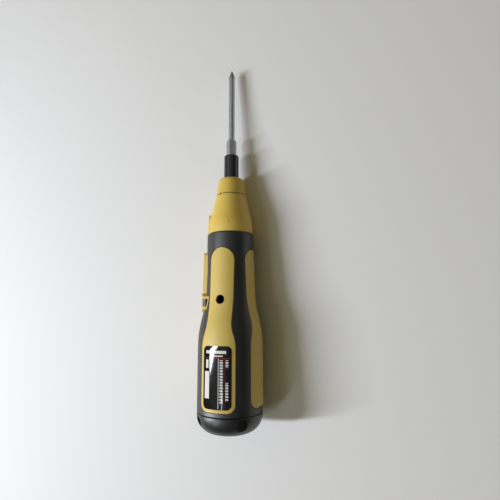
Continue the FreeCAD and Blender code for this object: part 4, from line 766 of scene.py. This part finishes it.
class FastenersOperator(Operator):
    """Finish the case screws and the rocker's pin"""

    bl_idname = "screwdriver.fasteners"
    bl_label = "Fasteners"

    def execute(self, context):
        zinc = shade(settings("metal").steel_colour, 0.7)
        dress(worked_metal("screw_zinc", zinc, 0.33, 0.35 * MM, (1, 1, 0.2), stain=0.35),
              "case_screws", "rocker_pin")
        return {"FINISHED"}


# Studio

FLOOR_GAP = 0.1 * MM
LAMP_AIM = Vector((0, 0.13, 0))
MAIN_LAMP_WAY = Vector((-0.69, -0.215, 0.65))
SECOND_LAMP_WAY = Vector((-0.349, -0.53, 0.773))
BRIGHT_WAY = (-0.45, 0.0, 0.89)
DIM_SIDE = 0.05
BRIGHT_SIDE = 2.2
PALE = (0.99, 0.99, 1.0)
FLOOR_CLOUD = 0.12
CLIP_START = 5 * MM


def add_mesh_object(name, shape):
    """Makes an object of the scene from a bmesh."""
    mesh = bpy.data.meshes.new(name)
    shape.to_mesh(mesh)
    shape.free()
    thing = bpy.data.objects.new(name, mesh)
    bpy.context.scene.collection.objects.link(thing)
    return thing


def floor_board(look):
    """Pale board: matt, faintly fibrous, and clear from below so that it hides nothing."""
    finish = new_finish("floor_board")
    cloud = finish.noise(FLOOR_CLOUD, 3.0)
    fibre = finish.noise(0.6 * MM, 3.0)
    tone = finish.mottle(cloud, look.floor_colour, 0.985, 1.01)
    board = finish.node("ShaderNodeBsdfPrincipled", None, {
        "Base Color": tone, "Roughness": 0.75, "Specular IOR Level": 0.25,
        "Normal": finish.bump(fibre, 0.01 * MM)})
    clear = finish.node("ShaderNodeBsdfTransparent")
    below = finish.node("ShaderNodeNewGeometry", output="Backfacing")
    seen = finish.node("ShaderNodeMixShader", None, {0: below, 1: board, 2: clear})
    finish.node("ShaderNodeOutputMaterial", None, {"Surface": seen})
    return finish.owner


def floor_matrix(look):
    """The floor lies just under the back panel at the contact and slopes up towards the bit."""
    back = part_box("back_shell")[0][2]
    contact = Vector((0, look.floor_contact, back - FLOOR_GAP))
    return Matrix.Translation(contact) @ Matrix.Rotation(look.floor_tilt, 4, "X")


def lamp_frame(way, distance):
    """A lamp that far away in this direction, shining back at the aim."""
    way = way.normalized()
    return Matrix.Translation(LAMP_AIM + way * distance) @ way.to_track_quat("Z", "Y").to_matrix().to_4x4()


def camera_frame(look):
    """Place and axes of the camera: turned about the tool, then pitched, swung and rolled."""
    turn, pitch = look.camera_turn, look.camera_pitch
    side = Vector((math.cos(turn), 0, -math.sin(turn)))
    out = Vector((math.sin(turn), 0, math.cos(turn)))
    ahead = ALONG * math.sin(pitch) - out * math.cos(pitch)
    up = ALONG * math.cos(pitch) + out * math.sin(pitch)
    swing, roll = look.camera_yaw, look.camera_roll
    ahead, side = (ahead * math.cos(swing) + side * math.sin(swing),
                   side * math.cos(swing) - ahead * math.sin(swing))
    side, up = (side * math.cos(roll) + up * math.sin(roll),
                up * math.cos(roll) - side * math.sin(roll))
    axes = Matrix((side, up, -ahead)).transposed().to_4x4()
    return Matrix.Translation(out * look.camera_height + ALONG * look.camera_foot) @ axes


def build_world(look):
    """A dim, warm room, brighter above the lit side and with a bright patch there in reflections.
    Seen directly it is a pale backdrop.
    """
    world = bpy.data.worlds.new("studio_room")
    bpy.context.scene.world = world
    finish = Finish(world)
    way = finish.node("ShaderNodeTexCoord", output="Generated")
    towards = finish.node("ShaderNodeVectorMath", {"operation": "DOT_PRODUCT"},
                          {0: way, 1: BRIGHT_WAY}, "Value")
    side = towards.ramp(-0.9, 0.9)
    patch = towards.ramp(0.78, 0.98)
    seen = finish.node("ShaderNodeLightPath", output="Is Camera Ray")
    seen = seen.or_else(finish.node("ShaderNodeLightPath", output="Is Transmission Ray"))
    gloss = finish.node("ShaderNodeLightPath", output="Is Glossy Ray")
    light = look.room_light * (DIM_SIDE + side * side * BRIGHT_SIDE) + gloss * (patch * look.room_gloss)
    strength = seen * look.room_tone + (1 - seen) * light
    colour = finish.mix(seen.or_else(gloss), look.room_colour, PALE)
    lit = finish.node("ShaderNodeBackground", None, {"Color": colour, "Strength": strength})
    finish.node("ShaderNodeOutputWorld", None, {"Surface": lit})


def add_lamp(name, power, way, look):
    """A softbox in this direction from the aim."""
    lamp = bpy.data.lights.new(name, "AREA")
    lamp.shape = "RECTANGLE"
    lamp.size = look.lamp_width
    lamp.size_y = look.lamp_length
    lamp.energy = power
    lamp.color = look.lamp_colour
    softbox = bpy.data.objects.new(name, lamp)
    softbox.matrix_world = lamp_frame(way, look.lamp_distance)
    bpy.context.scene.collection.objects.link(softbox)


class StudioOperator(Operator):
    """Set up the floor, the two lamps, the room and the camera"""

    bl_idname = "screwdriver.studio"
    bl_label = "Studio"

    def execute(self, context):
        look = settings("studio")
        scene = context.scene
        scene.view_settings.view_transform = "Standard"
        build_world(look)

        board = bmesh.new()
        bmesh.ops.create_grid(board, x_segments=1, y_segments=1, size=look.floor_reach,
                              matrix=floor_matrix(look))
        floor = add_mesh_object("floor", board)
        floor.data.materials.append(floor_board(look))

        add_lamp("main_lamp", look.main_power, MAIN_LAMP_WAY, look)
        add_lamp("second_lamp", look.second_power, SECOND_LAMP_WAY, look)

        lens = bpy.data.cameras.new("camera")
        lens.lens = look.lens_length
        lens.clip_start = CLIP_START
        camera = bpy.data.objects.new("camera", lens)
        camera.matrix_world = camera_frame(look)
        scene.collection.objects.link(camera)
        scene.camera = camera
        return {"FINISHED"}


PIECE_OPERATORS = (
    ShellsOperator,
    NoseOperator,
    GripOperator,
    CapOperator,
    LabelOperator,
    SwitchOperator,
    InletOperator,
    BitOperator,
    BatteryOperator,
    ElectronicsOperator,
    MotorOperator,
    GearsOperator,
    FastenersOperator,
)


class ScrewdriverPanel(Panel):
    """Lists the operators and the main settings"""

    bl_idname = "VIEW3D_PT_screwdriver"
    bl_label = "Screwdriver"
    bl_space_type = "VIEW_3D"
    bl_region_type = "UI"
    bl_category = "Screwdriver"

    def draw(self, context):
        column = self.layout.column(align=True)
        for operator in (*PIECE_OPERATORS, StudioOperator):
            column.operator(operator.bl_idname)
        for group, kind in SETTINGS.items():
            box = self.layout.box()
            for name in kind.__annotations__:
                box.prop(settings(group), name)


CLASSES = (*SETTINGS.values(), *PIECE_OPERATORS, StudioOperator, ScrewdriverPanel)


def register():
    for kind in CLASSES:
        bpy.utils.register_class(kind)
    for group, kind in SETTINGS.items():
        setattr(bpy.types.Scene, "screwdriver_" + group, PointerProperty(type=kind))


def unregister():
    for group in SETTINGS:
        delattr(bpy.types.Scene, "screwdriver_" + group)
    for kind in reversed(CLASSES):
        bpy.utils.unregister_class(kind)


def main():
    register()
    for operator in (*PIECE_OPERATORS, StudioOperator):
        group, name = operator.bl_idname.split(".")
        getattr(getattr(bpy.ops, group), name)()


if __name__ == "__main__":
    main()
